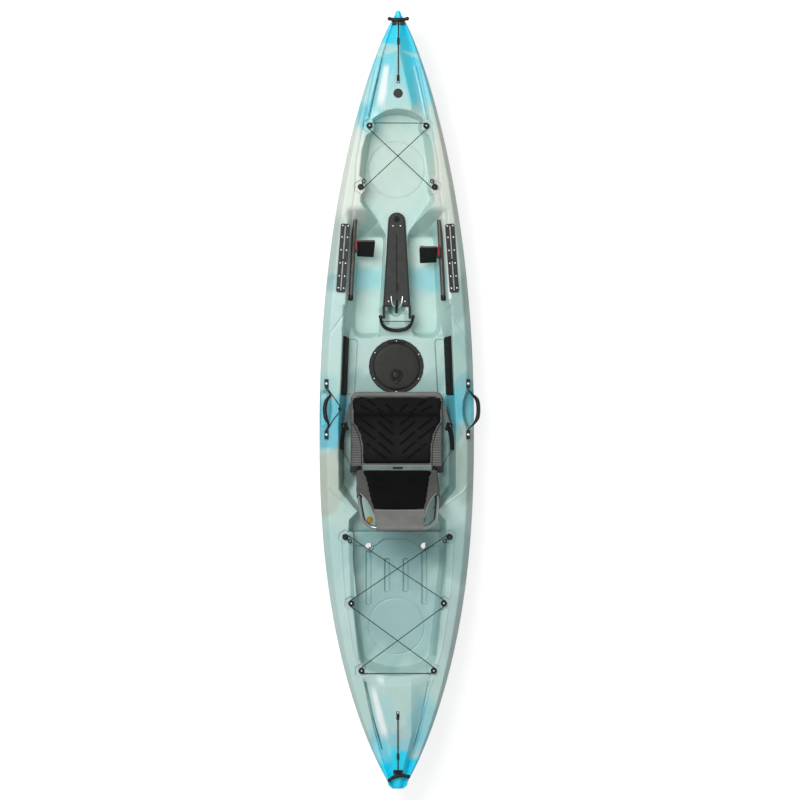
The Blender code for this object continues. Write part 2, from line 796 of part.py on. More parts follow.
def build_hatch():
    """Day hatch: rim, gasket, hinged lid, quarter-turn latch and hinge pin."""
    base = MID_DECK_Z + SEAT_GAP
    flange = base + HATCH_FLANGE_THICKNESS
    lip = flange + HATCH_LIP
    neck = HATCH_OPENING_RADIUS - FIT
    bore = neck - HATCH_NECK_WALL
    hinge_y = HATCH_Y + HATCH_HINGE_REACH
    under = lip + GASKET_THICKNESS + 2 * SEAT_GAP
    top = under + LID_THICKNESS
    hinge_z = under - 0.001
    hinge = (0, hinge_y, hinge_z)
    rim = turned(
        "hatch_rim",
        [
            (neck, lip),
            (neck, flange),
            (HATCH_FLANGE_RADIUS - 0.002, flange),
            (HATCH_FLANGE_RADIUS, flange - 0.002),
            (HATCH_FLANGE_RADIUS, base),
            (neck, base),
            (neck, base - HATCH_NECK_DEPTH),
            (bore, base - HATCH_NECK_DEPTH),
            (bore, lip),
        ],
        (0, HATCH_Y, 0),
        sides=HATCH_SIDES,
    )
    ear_near = HATCH_KNUCKLE_HALF + FIT
    for side in (1, -1):
        section = [
            (hinge_y - 0.006, flange - 0.002),
            (hinge_y + 0.006, flange - 0.002),
            (hinge_y + 0.006, hinge_z + 0.002),
            (hinge_y + 0.003, hinge_z + 0.005),
            (hinge_y - 0.003, hinge_z + 0.005),
            (hinge_y - 0.006, hinge_z + 0.002),
        ]
        ear = prism(
            f"hatch_ear_{side}", section, side * ear_near, side * (ear_near + HATCH_EAR_WIDTH), "X"
        )
        join(rim, ear)
    pin_half = ear_near + HATCH_EAR_WIDTH
    bored = pin_half + 0.01
    for target in ("rim", "lid"):
        cylinder(
            f"hatch_pin_bore_{target}",
            HATCH_PIN_RADIUS + FIT,
            (-bored, hinge_y, hinge_z),
            (bored, hinge_y, hinge_z),
            sides=12,
        )
    cut(rim, bpy.data.objects["hatch_pin_bore_rim"])
    paint(rim, "1c1d1e", 0.5)
    paint(
        turned(
            "hatch_gasket",
            [
                (neck - 0.0005, lip + SEAT_GAP + GASKET_THICKNESS),
                (neck - 0.0005, lip + SEAT_GAP),
                (bore + 0.0005, lip + SEAT_GAP),
                (bore + 0.0005, lip + SEAT_GAP + GASKET_THICKNESS),
            ],
            (0, HATCH_Y, 0),
            sides=HATCH_SIDES,
        ),
        "2b2c2d",
        0.8,
    )
    skirt = LID_RADIUS - LID_SKIRT_WALL
    lid = turned(
        "hatch_lid",
        [
            (0, top - 0.001),
            (0.088, top - 0.001),
            (0.090, top - 0.004),
            (0.095, top - 0.004),
            (0.097, top),
            (0.108, top),
            (LID_RADIUS, top - 0.003),
            (LID_RADIUS, under - LID_SKIRT),
            (skirt, under - LID_SKIRT),
            (skirt, under),
            (0, under),
        ],
        (0, HATCH_Y, 0),
        sides=HATCH_SIDES,
    )
    knuckle = cylinder(
        "hatch_knuckle",
        0.0055,
        (-HATCH_KNUCKLE_HALF, hinge_y, hinge_z),
        (HATCH_KNUCKLE_HALF, hinge_y, hinge_z),
        sides=12,
    )
    tab = block(
        "hatch_tab",
        (-HATCH_KNUCKLE_HALF + 0.0005, HATCH_Y + skirt + 0.0008, under - 0.0025),
        (HATCH_KNUCKLE_HALF - 0.0005, hinge_y, top - 0.002),
    )
    shaft = cylinder(
        "latch_bore",
        LATCH_SHAFT_RADIUS + FIT,
        (0, LATCH_Y, under - 0.01),
        (0, LATCH_Y, top + 0.01),
    )
    join(lid, tab, knuckle)
    cut(lid, bpy.data.objects["hatch_pin_bore_lid"], shaft)
    paint(lid, "1f2021", 0.45)
    pin = cylinder(
        "hatch_hinge_pin",
        HATCH_PIN_RADIUS,
        (-pin_half, hinge_y, hinge_z),
        (pin_half, hinge_y, hinge_z),
        sides=12,
    )
    paint(pin, "b9bcbf", 0.3, 1.0)
    rest = top - 0.001 + SEAT_GAP
    latch = turned(
        "hatch_latch",
        [
            (0, rest + LATCH_THICKNESS),
            (LATCH_RADIUS - 0.003, rest + LATCH_THICKNESS),
            (LATCH_RADIUS, rest + LATCH_THICKNESS - 0.003),
            (LATCH_RADIUS, rest),
            (LATCH_SHAFT_RADIUS, rest),
            (LATCH_SHAFT_RADIUS, under - 0.012),
            (0, under - 0.012),
        ],
        (0, LATCH_Y, 0),
    )
    pointer = prism(
        "latch_pointer",
        [(-0.016, LATCH_Y - 0.014), (0, LATCH_Y - 0.0386), (0.016, LATCH_Y - 0.014)],
        rest + 0.001,
        rest + LATCH_THICKNESS - 0.002,
    )
    cam = block(
        "latch_cam",
        (-0.007, LATCH_Y - 0.030, under - 0.011),
        (0.007, LATCH_Y + 0.009, under - 0.0065),
    )
    join(latch, pointer, cam)
    paint(latch, "141516", 0.4)
    latch_axis = hang_on("hatch_latch_axis", (0, LATCH_Y, rest), latch)
    hang_on("hatch_hinge_axis", hinge, lid, latch_axis)


def console_outline(inset=0.0):
    """Console plate outline: round in front and wider aft, drawn in by inset."""
    radius = CONSOLE_FRONT_RADIUS - inset
    aft = CONSOLE_AFT_Y + inset
    outline = [(CONSOLE_AFT_HALF - inset, aft)]
    for step in range(9):
        turn = math.pi * step / 8
        outline.append((radius * math.cos(turn), CONSOLE_FRONT_Y + radius * math.sin(turn)))
    outline.append((inset - CONSOLE_AFT_HALF, aft))
    return outline


def build_console():
    """Console: base with an accessory track, top plate and folding handle."""
    floor = BOW_WELL_Z + SEAT_GAP
    top = floor + CONSOLE_BASE_THICKNESS
    base = prism("console_base", console_outline(), floor, top)
    plate_z = top + SEAT_GAP
    plate = prism(
        "console_plate",
        console_outline(CONSOLE_PLATE_INSET),
        plate_z,
        plate_z + CONSOLE_PLATE_THICKNESS,
    )
    track = (CONSOLE_AFT_Y + 0.067, CONSOLE_FRONT_Y - 0.0646)
    notch = (0.024, CONSOLE_AFT_Y + 0.029)
    above = plate_z + 0.02
    pivot_z = floor + HANDLE_LUG_HEIGHT / 2
    lug_outer = HANDLE_HALF - HANDLE_RADIUS - 2 * FIT
    for side in (1, -1):
        lug = prism(
            f"handle_lug_{side}",
            [
                (HANDLE_PIVOT_Y - 0.007, floor + 0.002),
                (HANDLE_PIVOT_Y - 0.005, floor),
                (CONSOLE_AFT_Y + 0.004, floor + 0.0006),
                (CONSOLE_AFT_Y + 0.004, top - 0.0006),
                (HANDLE_PIVOT_Y + 0.014, floor + HANDLE_LUG_HEIGHT),
                (HANDLE_PIVOT_Y - 0.003, floor + HANDLE_LUG_HEIGHT),
                (HANDLE_PIVOT_Y - 0.007, floor + HANDLE_LUG_HEIGHT - 0.004),
            ],
            lug_outer - HANDLE_LUG_WIDTH,
            lug_outer,
            "X",
            mirrored(side),
        )
        join(base, lug)
    cut(
        base,
        cylinder(
            "handle_bore",
            HANDLE_STUB_RADIUS + FIT,
            (-HANDLE_HALF, HANDLE_PIVOT_Y, pivot_z),
            (HANDLE_HALF, HANDLE_PIVOT_Y, pivot_z),
            sides=12,
        ),
        block(
            "track_channel",
            (-TRACK_CHANNEL / 2, track[0], floor + 0.003),
            (TRACK_CHANNEL / 2, track[1], above),
        ),
    )
    cut(
        plate,
        block(
            "track_slot", (-TRACK_SLOT / 2, track[0], floor + 0.003), (TRACK_SLOT / 2, track[1], above)
        ),
    )
    hole_y = CONSOLE_FRONT_Y + 0.0074
    for target in (base, plate):
        cut(
            target,
            block(
                f"{target.name}_notch",
                (-notch[0], CONSOLE_AFT_Y - 0.01, floor - 0.01),
                (notch[0], notch[1], above),
            ),
            cylinder(f"{target.name}_hole", 0.0158, (0, hole_y, floor + 0.003), (0, hole_y, above)),
        )
    paint(base, "17181a", 0.5)
    paint(plate, "5d6163", 0.55)
    ramp = (BOW_WELL_Z - MID_DECK_Z) / (RAMP_FORE_Y - RAMP_AFT_Y)
    low_z = MID_DECK_Z + ramp * (HANDLE_REACH_Y - RAMP_AFT_Y) + HANDLE_RADIUS + 0.003
    slope = (pivot_z - low_z) / (HANDLE_PIVOT_Y - HANDLE_REACH_Y)
    path = [
        (-HANDLE_HALF, HANDLE_PIVOT_Y + 0.006, pivot_z + 0.006 * slope),
        (-HANDLE_HALF, HANDLE_REACH_Y, low_z),
        (HANDLE_HALF, HANDLE_REACH_Y, low_z),
        (HANDLE_HALF, HANDLE_PIVOT_Y + 0.006, pivot_z + 0.006 * slope),
    ]
    handle = tube("console_handle", bent(path, 0.028), HANDLE_RADIUS)
    for side in (1, -1):
        stub = cylinder(
            f"handle_stub_{side}",
            HANDLE_STUB_RADIUS,
            (side * HANDLE_HALF, HANDLE_PIVOT_Y, pivot_z),
            (side * (lug_outer - HANDLE_LUG_WIDTH), HANDLE_PIVOT_Y, pivot_z),
            sides=12,
        )
        join(handle, stub)
    pivot_at(handle, (0, HANDLE_PIVOT_Y, pivot_z))
    paint(handle, "1b1c1d", 0.6)


def build_accessory_rails():
    """Slotted rails along the gunwales beside the footwells."""
    aft, fore = Vector(RAIL_AFT), Vector(RAIL_FORE)
    middle = (aft + fore) / 2
    yaw = math.atan2(aft.x - fore.x, fore.y - aft.y)
    matrix = on_deck(middle.x, middle.y, RAIL_INNER_LENGTH / 2)
    matrix = matrix @ Matrix.Rotation(yaw, 4, "Z")
    half = RAIL_WIDTH / 2
    inner, outer = RAIL_INNER_LENGTH / 2, RAIL_OUTER_LENGTH / 2
    for side, name in ((1, "accessory_rail_right"), (-1, "accessory_rail_left")):
        spot = mirrored(side) @ matrix
        outline = [(-half, -inner), (half, -outer), (half, outer), (-half, inner)]
        rail = prism(name, outline, 0, RAIL_HEIGHT, matrix=spot)
        slot = [
            (-RAIL_SLOT / 2, RAIL_HEIGHT + 0.01),
            (-RAIL_SLOT / 2, RAIL_HEIGHT - RAIL_LIP),
            (-RAIL_CHANNEL / 2, RAIL_HEIGHT - RAIL_LIP),
            (-RAIL_CHANNEL / 2, RAIL_WEB),
            (RAIL_CHANNEL / 2, RAIL_WEB),
            (RAIL_CHANNEL / 2, RAIL_HEIGHT - RAIL_LIP),
            (RAIL_SLOT / 2, RAIL_HEIGHT - RAIL_LIP),
            (RAIL_SLOT / 2, RAIL_HEIGHT + 0.01),
        ]
        cut(rail, prism(f"{name}_slot", slot, -0.2, 0.2, "Y", spot))
        paint(rail, "26282a", 0.5)


def brace_matrix(side):
    """Local frame on the footwell's outer wall: y forward along the rail, x outboard, z up."""
    t = (BRACE_Z - FOOTWELL_Z) / (RIM_Z - FOOTWELL_Z)
    aft = Vector((mix(FOOTWELL_AFT[0], FOOTWELL_AFT[2], t), mix(FOOTWELL_AFT[1], FOOTWELL_AFT[3], t)))
    fore = Vector(
        (mix(FOOTWELL_FORE[0], FOOTWELL_FORE[2], t), mix(FOOTWELL_FORE[1], FOOTWELL_FORE[3], t))
    )
    yaw = math.atan2(aft.x - fore.x, fore.y - aft.y)
    spot = Matrix.Translation((aft.x, aft.y, 0)) @ Matrix.Rotation(yaw, 4, "Z")
    return mirrored(side) @ spot, (fore - aft).length


def build_foot_braces():
    """Foot brace rails, sliding pedals and their sprung locks."""
    face = -SEAT_GAP - BRACE_THICKNESS
    middle = BRACE_Z + BRACE_HEIGHT / 2
    for side, tag, pedal_y in ((1, "right", PEDAL_RIGHT_Y), (-1, "left", PEDAL_LEFT_Y)):
        matrix, length = brace_matrix(side)
        rail = block(
            f"foot_brace_rail_{tag}",
            (face, 0.020, BRACE_Z),
            (-SEAT_GAP, length - 0.018, BRACE_Z + BRACE_HEIGHT),
            matrix,
        )
        groove = [
            (face - 0.01, middle - BRACE_GROOVE_MOUTH),
            (face - 0.01, middle + BRACE_GROOVE_MOUTH),
            (face, middle + BRACE_GROOVE_MOUTH),
            (face + BRACE_GROOVE_DEPTH, middle + BRACE_GROOVE_HALF),
            (face + BRACE_GROOVE_DEPTH, middle - BRACE_GROOVE_HALF),
            (face, middle - BRACE_GROOVE_MOUTH),
        ]
        cut(rail, prism(f"brace_groove_{tag}", groove, -0.1, length + 0.1, "Y", matrix))
        paint(rail, "6a5f57", 0.45)
        local_y = pedal_y - matrix.translation.y
        carriage = (face - 0.0188, face - 2 * FIT)
        front, rear = local_y + 0.048, local_y + 0.010
        plate = [(-0.038, 0.135), (0.038, 0.245)]
        run = Vector((plate[1][0] - plate[0][0], plate[1][1] - plate[0][1]))
        along = run.normalized()
        out = Vector((-along.y, along.x))
        start = Vector((local_y + plate[0][0], plate[0][1]))
        outline = [start, start + run]
        rib = run.length / (2 * PEDAL_RIBS + 1)
        for k in range(PEDAL_RIBS, 0, -1):
            high, low = start + along * rib * 2 * k, start + along * rib * (2 * k - 1)
            if k == PEDAL_RIBS:
                outline.append(start + run + out * PEDAL_THICKNESS)
            outline += [
                high + out * PEDAL_THICKNESS,
                high - along * 0.001 + out * (PEDAL_THICKNESS + 0.0025),
                low + along * 0.001 + out * (PEDAL_THICKNESS + 0.0025),
                low + out * PEDAL_THICKNESS,
            ]
        outline.append(start + out * PEDAL_THICKNESS)
        inboard = face - 0.0096
        pedal = prism(
            f"foot_pedal_{tag}", [tuple(p) for p in outline], inboard - PEDAL_WIDTH, inboard, "X", matrix
        )
        body = block(
            f"carriage_{tag}",
            (carriage[0], rear, BRACE_Z - 0.003),
            (carriage[1], front, BRACE_Z + BRACE_HEIGHT + 0.003),
            matrix,
        )
        tongue = [
            (carriage[1] - 0.002, middle - BRACE_GROOVE_MOUTH + FIT),
            (face, middle - BRACE_GROOVE_MOUTH + FIT),
            (face + BRACE_GROOVE_DEPTH - FIT, middle - BRACE_GROOVE_HALF + 2 * FIT),
            (face + BRACE_GROOVE_DEPTH - FIT, middle + BRACE_GROOVE_HALF - 2 * FIT),
            (face, middle + BRACE_GROOVE_MOUTH - FIT),
            (carriage[1] - 0.002, middle + BRACE_GROOVE_MOUTH - FIT),
        ]
        lug = prism(f"tongue_{tag}", tongue, rear + 0.002, front - 0.002, "Y", matrix)
        join(pedal, body, lug)
        lock_x = (carriage[0] + 0.0038, carriage[1] - 0.0038)
        lock_z = BRACE_Z + BRACE_HEIGHT + 0.003 + 2 * FIT
        pin_z = lock_z + 0.003
        pin_y = front - 0.005
        for near, far in (
            (carriage[0] + 0.0003, lock_x[0] - FIT),
            (lock_x[1] + FIT, carriage[1] - 0.0003),
        ):
            ear = block(
                f"lock_ear_{tag}_{near:.3f}",
                (near, pin_y - 0.0045, BRACE_Z + BRACE_HEIGHT + 0.001),
                (far, pin_y + 0.0045, lock_z + 0.007),
                matrix,
            )
            join(pedal, ear)
        ends = (carriage[0] - 0.01, pin_y, pin_z), (carriage[1] + 0.01, pin_y, pin_z)
        cut(pedal, cylinder(f"lock_bore_{tag}", 0.0018 + FIT, *ends, matrix, sides=12))
        paint(pedal, "17181a", 0.5)
        lock = block(
            f"pedal_lock_{tag}",
            (lock_x[0], rear - 0.010, lock_z),
            (lock_x[1], front - 0.001, lock_z + 0.006),
            matrix,
        )
        pin = cylinder(
            f"lock_pin_{tag}",
            0.0018,
            (carriage[0] + 0.0005, pin_y, pin_z),
            (carriage[1] - 0.0005, pin_y, pin_z),
            matrix,
            sides=12,
        )
        join(lock, pin)
        paint(lock, "c2201f", 0.4)
        lock_axis = hang_on(f"pedal_lock_axis_{tag}", matrix @ Vector((lock_x[0], pin_y, pin_z)), lock)
        hang_on(f"foot_pedal_slide_{tag}", matrix @ Vector((face, local_y, middle)), pedal, lock_axis)


def build_side_pads():
    """Ribbed pads on the sloping walls beside the day hatch."""
    for side, name in ((1, "side_pad_right"), (-1, "side_pad_left")):
        rings = []
        for corner in (SEAT_WALL_AFT, SEAT_WALL_FORE):
            share = 0.03 if corner is SEAT_WALL_AFT else 0.95
            low = Vector((mix(SEAT_WALL_AFT[0], SEAT_WALL_FORE[0], share), 0, MID_DECK_Z))
            high = Vector((mix(SEAT_WALL_AFT[2], SEAT_WALL_FORE[2], share), 0, SEAT_WELL_RIM_Z))
            y = mix(SEAT_WALL_AFT[1], SEAT_WALL_FORE[1], share)
            up = (high - low).normalized()
            inward = Vector((-up.z, 0, up.x))
            run = (high - low).length
            ring = [low + up * 0.94 * run + inward * 0.0006, low + up * 0.14 * run + inward * 0.0006]
            for k in range(6):
                foot = low + up * (0.14 + 0.8 * k / 6) * run
                for t, depth in ((0.0, 0.005), (0.02, 0.009), (0.095, 0.009), (0.115, 0.005)):
                    ring.append(foot + up * t * run + inward * depth)
            rings.append([(p.x, y, p.z) for p in ring])
        paint(loft(name, rings, mirrored(side)), "222426", 0.8)


def hull_envelope(name):
    """Skin just outside the hull, which cuts what is screwed down on its rounded faces."""
    return loft(name, [hull_ring(y, y, -SEAT_GAP) for y in station_places()], cutter=True)


def handle_axis_z():
    """Height of the carry handles' hinge line, inside their anchors."""
    return on_stations(0.0, sheer_z) + 0.0035


def build_carry_handles():
    """Side carry handles on pins in screwed anchors, and the paddle keeper on the port side."""
    axis_z = handle_axis_z()
    places = (("fore", ANCHOR_FORE_Y), ("aft", ANCHOR_AFT_Y))
    for side, tag in ((1, "right"), (-1, "left")):
        for end, y in places:
            half = ANCHOR_WIDTH / 2
            top = axis_z + ANCHOR_HEIGHT / 2 + 0.001
            section = [
                (ANCHOR_X - half, axis_z - 0.014),
                (ANCHOR_X + half, axis_z - 0.014),
                (ANCHOR_X + half, top - 0.004),
                (ANCHOR_X + half - 0.004, top),
                (ANCHOR_X - half + 0.003, top),
                (ANCHOR_X - half, top - 0.003),
            ]
            name = f"handle_anchor_{end}_{tag}"
            ends = (y - ANCHOR_LENGTH / 2, y + ANCHOR_LENGTH / 2)
            anchor = prism(name, section, *ends, "Y", mirrored(side))
            cut(anchor, hull_envelope(f"{name}_seat"))
            inner = -1 if end == "fore" else 1
            bore = cylinder(
                f"{name}_bore",
                HANDLE_PIN_RADIUS + FIT,
                (ANCHOR_X, y + inner * (ANCHOR_LENGTH / 2 + 0.01), axis_z),
                (ANCHOR_X, y - inner * 0.008, axis_z),
                mirrored(side),
                sides=12,
            )
            cut(anchor, bore)
            if side < 0:
                drop = cylinder(
                    f"{name}_cord_bore",
                    PADDLE_CORD_RADIUS + FIT,
                    (-ANCHOR_X + 0.0065, y + inner * (ANCHOR_LENGTH / 2 + 0.01), axis_z),
                    (-ANCHOR_X + 0.0065, y + inner * (ANCHOR_LENGTH / 2 - 0.006), axis_z),
                    sides=12,
                )
                cut(anchor, drop)
            paint(anchor, "141516", 0.5)
    fore = ANCHOR_FORE_Y - ANCHOR_LENGTH / 2
    aft = ANCHOR_AFT_Y + ANCHOR_LENGTH / 2
    right = [
        (ANCHOR_X, fore + 0.012, axis_z),
        (ANCHOR_X, fore - 0.005, axis_z),
        (ANCHOR_X + 0.0085, fore - 0.016, axis_z - 0.008),
        (ANCHOR_X + 0.0190, 0.0287, axis_z - 0.017),
        (ANCHOR_X + 0.0445, 0.000, axis_z - 0.034),
        (ANCHOR_X + 0.0510, -0.042, axis_z - 0.037),
        (ANCHOR_X + 0.0465, -0.085, axis_z - 0.034),
        (ANCHOR_X + 0.0285, -0.115, axis_z - 0.022),
        (ANCHOR_X + 0.0105, aft + 0.014, axis_z - 0.009),
        (ANCHOR_X, aft + 0.005, axis_z),
        (ANCHOR_X, aft - 0.012, axis_z),
    ]
    lift = axis_z + 0.0065
    left = [
        (-ANCHOR_X, fore + 0.012, axis_z),
        (-ANCHOR_X, fore - 0.005, axis_z),
        (0.0085 - ANCHOR_X, fore - 0.017, axis_z + 0.004),
        (0.0185 - ANCHOR_X, 0.0240, lift),
        (-0.0005 - ANCHOR_X, -0.004, lift + 0.003),
        (-0.0085 - ANCHOR_X, -0.042, lift + 0.003),
        (-0.0035 - ANCHOR_X, -0.085, lift + 0.003),
        (0.0095 - ANCHOR_X, -0.115, lift + 0.002),
        (0.0055 - ANCHOR_X, aft + 0.014, axis_z + 0.003),
        (-ANCHOR_X, aft + 0.005, axis_z),
        (-ANCHOR_X, aft - 0.012, axis_z),
    ]
    factors = (1, 1, 1.1, 1.5, GRIP_RADIUS / 0.003, GRIP_RADIUS / 0.003, GRIP_RADIUS / 0.003, 1.7, 1.1, 1, 1)
    for name, path in (("carry_handle_right", right), ("carry_handle_left", left)):
        handle = tube(name, path, HANDLE_PIN_RADIUS, factors)
        pivot_at(handle, (path[0][0], (fore + aft) / 2, axis_z))
        paint(handle, "2b2d2f", 0.6)
    hook_x, hook_y = PADDLE_HOOK
    spot = on_deck(hook_x, hook_y, 0.01)
    profile = [
        (0, 0.011),
        (0.0065, 0.011),
        (0.0065, 0.0085),
        (0.004, 0.008),
        (0.004, 0.0025),
        (0.009, 0.0025),
        (0.009, 0),
        (0, 0),
    ]
    paint(turned("paddle_hook", profile, matrix=spot), "141516", 0.5)
    cord_z = on_stations(hook_y, sheer_z) + 0.0055
    wrap = 0.004 + PADDLE_CORD_RADIUS + 0.0008
    cord_x = ANCHOR_X - 0.0065
    path = [(-cord_x, fore + 0.004, axis_z), (-cord_x, fore - 0.004, axis_z)]
    path.append((0.0415 - ANCHOR_X, 0.004, cord_z))
    for turn in (35, 0, -35):
        angle = math.radians(turn)
        path.append((hook_x + wrap * math.cos(angle), hook_y + wrap * math.sin(angle), cord_z))
    path.append((0.0315 - ANCHOR_X, -0.0960, cord_z))
    path += [(-cord_x, aft + 0.004, axis_z), (-cord_x, aft - 0.004, axis_z)]
    paint(tube("paddle_cord", path, PADDLE_CORD_RADIUS), "2a2c2e", 0.8)


def build_toggle(tag, bracket_y, eye_y, ahead, bead, bar_half, yaw):
    """Carry toggle at one end: bar on a neck, saddle bracket with pin bores, cord with bead, pad eye."""
    deck = on_stations(bracket_y, crown_z)
    half_length = 0.011 if ahead > 0 else 0.009
    pin_z = deck + 0.0085
    bracket = block(
        f"{tag}_toggle_bracket",
        (-0.030 if ahead > 0 else -0.0223, bracket_y - half_length, deck - 0.03),
        (0.030 if ahead > 0 else 0.0223, bracket_y + half_length, deck + 0.012),
    )
    cut(
        bracket,
        hull_envelope(f"{tag}_bracket_seat"),
        block(
            f"{tag}_bracket_gap",
            (-0.0095, bracket_y - 0.05, deck + 0.003),
            (0.0095, bracket_y + 0.05, deck + 0.05),
        ),
        cylinder(
            f"{tag}_pin_bore",
            TOGGLE_PIN_RADIUS + FIT,
            (-0.018, bracket_y, pin_z),
            (0.018, bracket_y, pin_z),
            sides=12,
        ),
    )
    paint(bracket, "17181a", 0.5)
    bar_y = bracket_y + ahead * (0.0235 if ahead > 0 else 0.029)
    bar_z = on_stations(bar_y, crown_z) + 0.0125
    turn = Matrix.Translation((0, bar_y, bar_z)) @ Matrix.Rotation(math.radians(yaw), 4, "Z")
    knots = [-bar_half, -bar_half + 0.004, -bar_half + 0.015, -bar_half + 0.020]
    knots += [-x for x in reversed(knots)]
    factors = (0.45, 0.95, 0.95, 0.8, 0.8, 0.95, 0.95, 0.45)
    bow = [(x, 0, 0) for x in knots]
    bar = tube(f"{tag}_toggle", bow, 0.0095, factors, matrix=turn)
    neck = tube(
        f"{tag}_toggle_neck",
        [(0, bar_y, bar_z), (0, bracket_y, pin_z)],
        0.0045,
    )
    pin = cylinder(
        f"{tag}_toggle_pin",
        TOGGLE_PIN_RADIUS,
        (-0.0170, bracket_y, pin_z),
        (0.0170, bracket_y, pin_z),
        sides=12,
    )
    join(bar, neck, pin)
    paint(bar, "1b1c1d", 0.55)
    hang_on(f"{tag}_toggle_axis", (0, bracket_y, pin_z), bar)
    start = bracket_y - ahead * (half_length + 0.001)
    eye_half = 0.020
    matrix = on_deck(0, eye_y, eye_half, crown_z)
    eye = block(f"{tag}_pad_eye", (-0.007, -eye_half, 0), (0.007, eye_half, 0.0025), matrix)
    arch = [(-0.0062, 0, 0.001)]
    arch += [
        (-0.0062 * math.cos(math.radians(a)), 0, 0.0068 + 0.0062 * math.sin(math.radians(a)))
        for a in (0, 45, 90, 135, 180)
    ]
    arch.append((0.0062, 0, 0.001))
    loop = tube(f"{tag}_pad_eye_loop", arch, 0.0017, matrix=matrix)
    paint(join(eye, loop), "17181a", 0.5)
    end = eye_y - ahead * 0.010
    stops = [(start, 0.0042), (bead[0] + ahead * 0.0006, 0.0042)]
    stops += [(bead[0], 0.0064), (bead[1], 0.0064)]
    stops += [(bead[1] - ahead * 0.0006, TOGGLE_CORD_RADIUS), (end, TOGGLE_CORD_RADIUS)]
    extra = [y for y in station_places() if min(start, end) < y < max(start, end)]
    for y in extra:
        inside = 0.0042 if (y - bead[0]) * ahead > 0 else TOGGLE_CORD_RADIUS
        if min(abs(y - bead[0]), abs(y - bead[1])) > 0.002:
            stops.append((y, inside))
    stops.sort(key=lambda stop: -ahead * stop[0])
    path = [(0, y, on_stations(y, crown_z) + 0.0069) for y, _ in stops]
    cord = tube(
        f"{tag}_toggle_cord",
        path,
        TOGGLE_CORD_RADIUS,
        [radius / TOGGLE_CORD_RADIUS for _, radius in stops],
    )
    paint(cord, "303234", 0.8)


def build_buttons():
    """Deck buttons that the bungee cords run round."""
    profile = [
        (0, BUTTON_BASE_HEIGHT + BUTTON_WAIST_HEIGHT + BUTTON_CAP_HEIGHT),
        (BUTTON_CAP - 0.003, BUTTON_BASE_HEIGHT + BUTTON_WAIST_HEIGHT + BUTTON_CAP_HEIGHT),
        (BUTTON_CAP, BUTTON_BASE_HEIGHT + BUTTON_WAIST_HEIGHT + BUTTON_CAP_HEIGHT - 0.002),
        (BUTTON_CAP, BUTTON_BASE_HEIGHT + BUTTON_WAIST_HEIGHT),
        (BUTTON_WAIST, BUTTON_BASE_HEIGHT + BUTTON_WAIST_HEIGHT),
        (BUTTON_WAIST, BUTTON_BASE_HEIGHT),
        (BUTTON_RADIUS, BUTTON_BASE_HEIGHT - 0.001),
        (BUTTON_RADIUS, 0),
        (0, 0),
    ]
    rows = [("bow", BOW_BUTTONS), ("stern", STERN_BUTTONS)]
    for area, buttons in rows:
        for number, (x, y) in enumerate(buttons, 1):
            for side, tag in ((1, "right"), (-1, "left")):
                spot = on_deck(side * x, y, BUTTON_RADIUS)
                name = f"deck_button_{area}_{number}_{tag}"
                paint(turned(name, profile, matrix=spot, sides=12), "141516", 0.5)


def lashing(stops, wrap):
    """Line round stops of (x, y, z, turn), where a turn of 1 is anti-clockwise and -1 clockwise."""
    headings = []
    for (x1, y1, _, turn1), (x2, y2, _, turn2) in zip(stops, stops[1:]):
        run = Vector((x2 - x1, y2 - y1))
        lean = math.asin(wrap * (turn1 - turn2) / run.length)
        headings.append(math.atan2(run.y, run.x) + lean)
    path = []
    for i, (x, y, z, turn) in enumerate(stops):
        into = headings[i - 1] if i else headings[0] - turn * math.radians(200)
        out = headings[i] if i < len(headings) else headings[-1] + turn * math.radians(200)
        sweep = ((out - into) * turn) % (2 * math.pi)
        steps = max(3, round(sweep / math.radians(32)))
        for k in range(steps + 1):
            heading = into + turn * sweep * k / steps
            normal = Vector((math.sin(heading), -math.cos(heading))) * turn
            path.append((x + wrap * normal.x, y + wrap * normal.y, z))
        if i < len(headings):
            path.append(None)
    return path


def build_bungee(name, stops, crossings):
    """Bungee with a thick hook at each end. Crossings give the height step in each straight run."""
    wrap = BUTTON_WAIST + BUNGEE_HOOK_RADIUS + 3 * FIT
    raw = lashing(stops, wrap)
    path, factors = [], []
    gap = 0
    thick = BUNGEE_HOOK_RADIUS / BUNGEE_RADIUS
    last = len(stops) - 2
    for i, point in enumerate(raw):
        if point is not None:
            first_arc = gap == 0
            last_arc = gap > last
            path.append(point)
            factors.append(thick if first_arc or last_arc else 1)
            continue
        start, end = Vector(raw[i - 1]), Vector(raw[i + 1])
        shares = [(0.5, 1)]
        if gap == 0:
            near = 0.032 / (end - start).length
            shares = [(near, thick), (near + 0.004, 1), (0.5, 1)]
        if gap == last:
            far = 1 - 0.032 / (end - start).length
            shares += [(far - 0.004, 1), (far, thick)]
        for share, factor in shares:
            spot = start.lerp(end, share)
            lift = crossings[gap] * BUNGEE_LIFT if share == 0.5 else 0
            path.append((spot.x, spot.y, spot.z + lift))
            factors.append(factor)
        gap += 1
    paint(tube(name, path, BUNGEE_RADIUS, factors), "202224", 0.8)


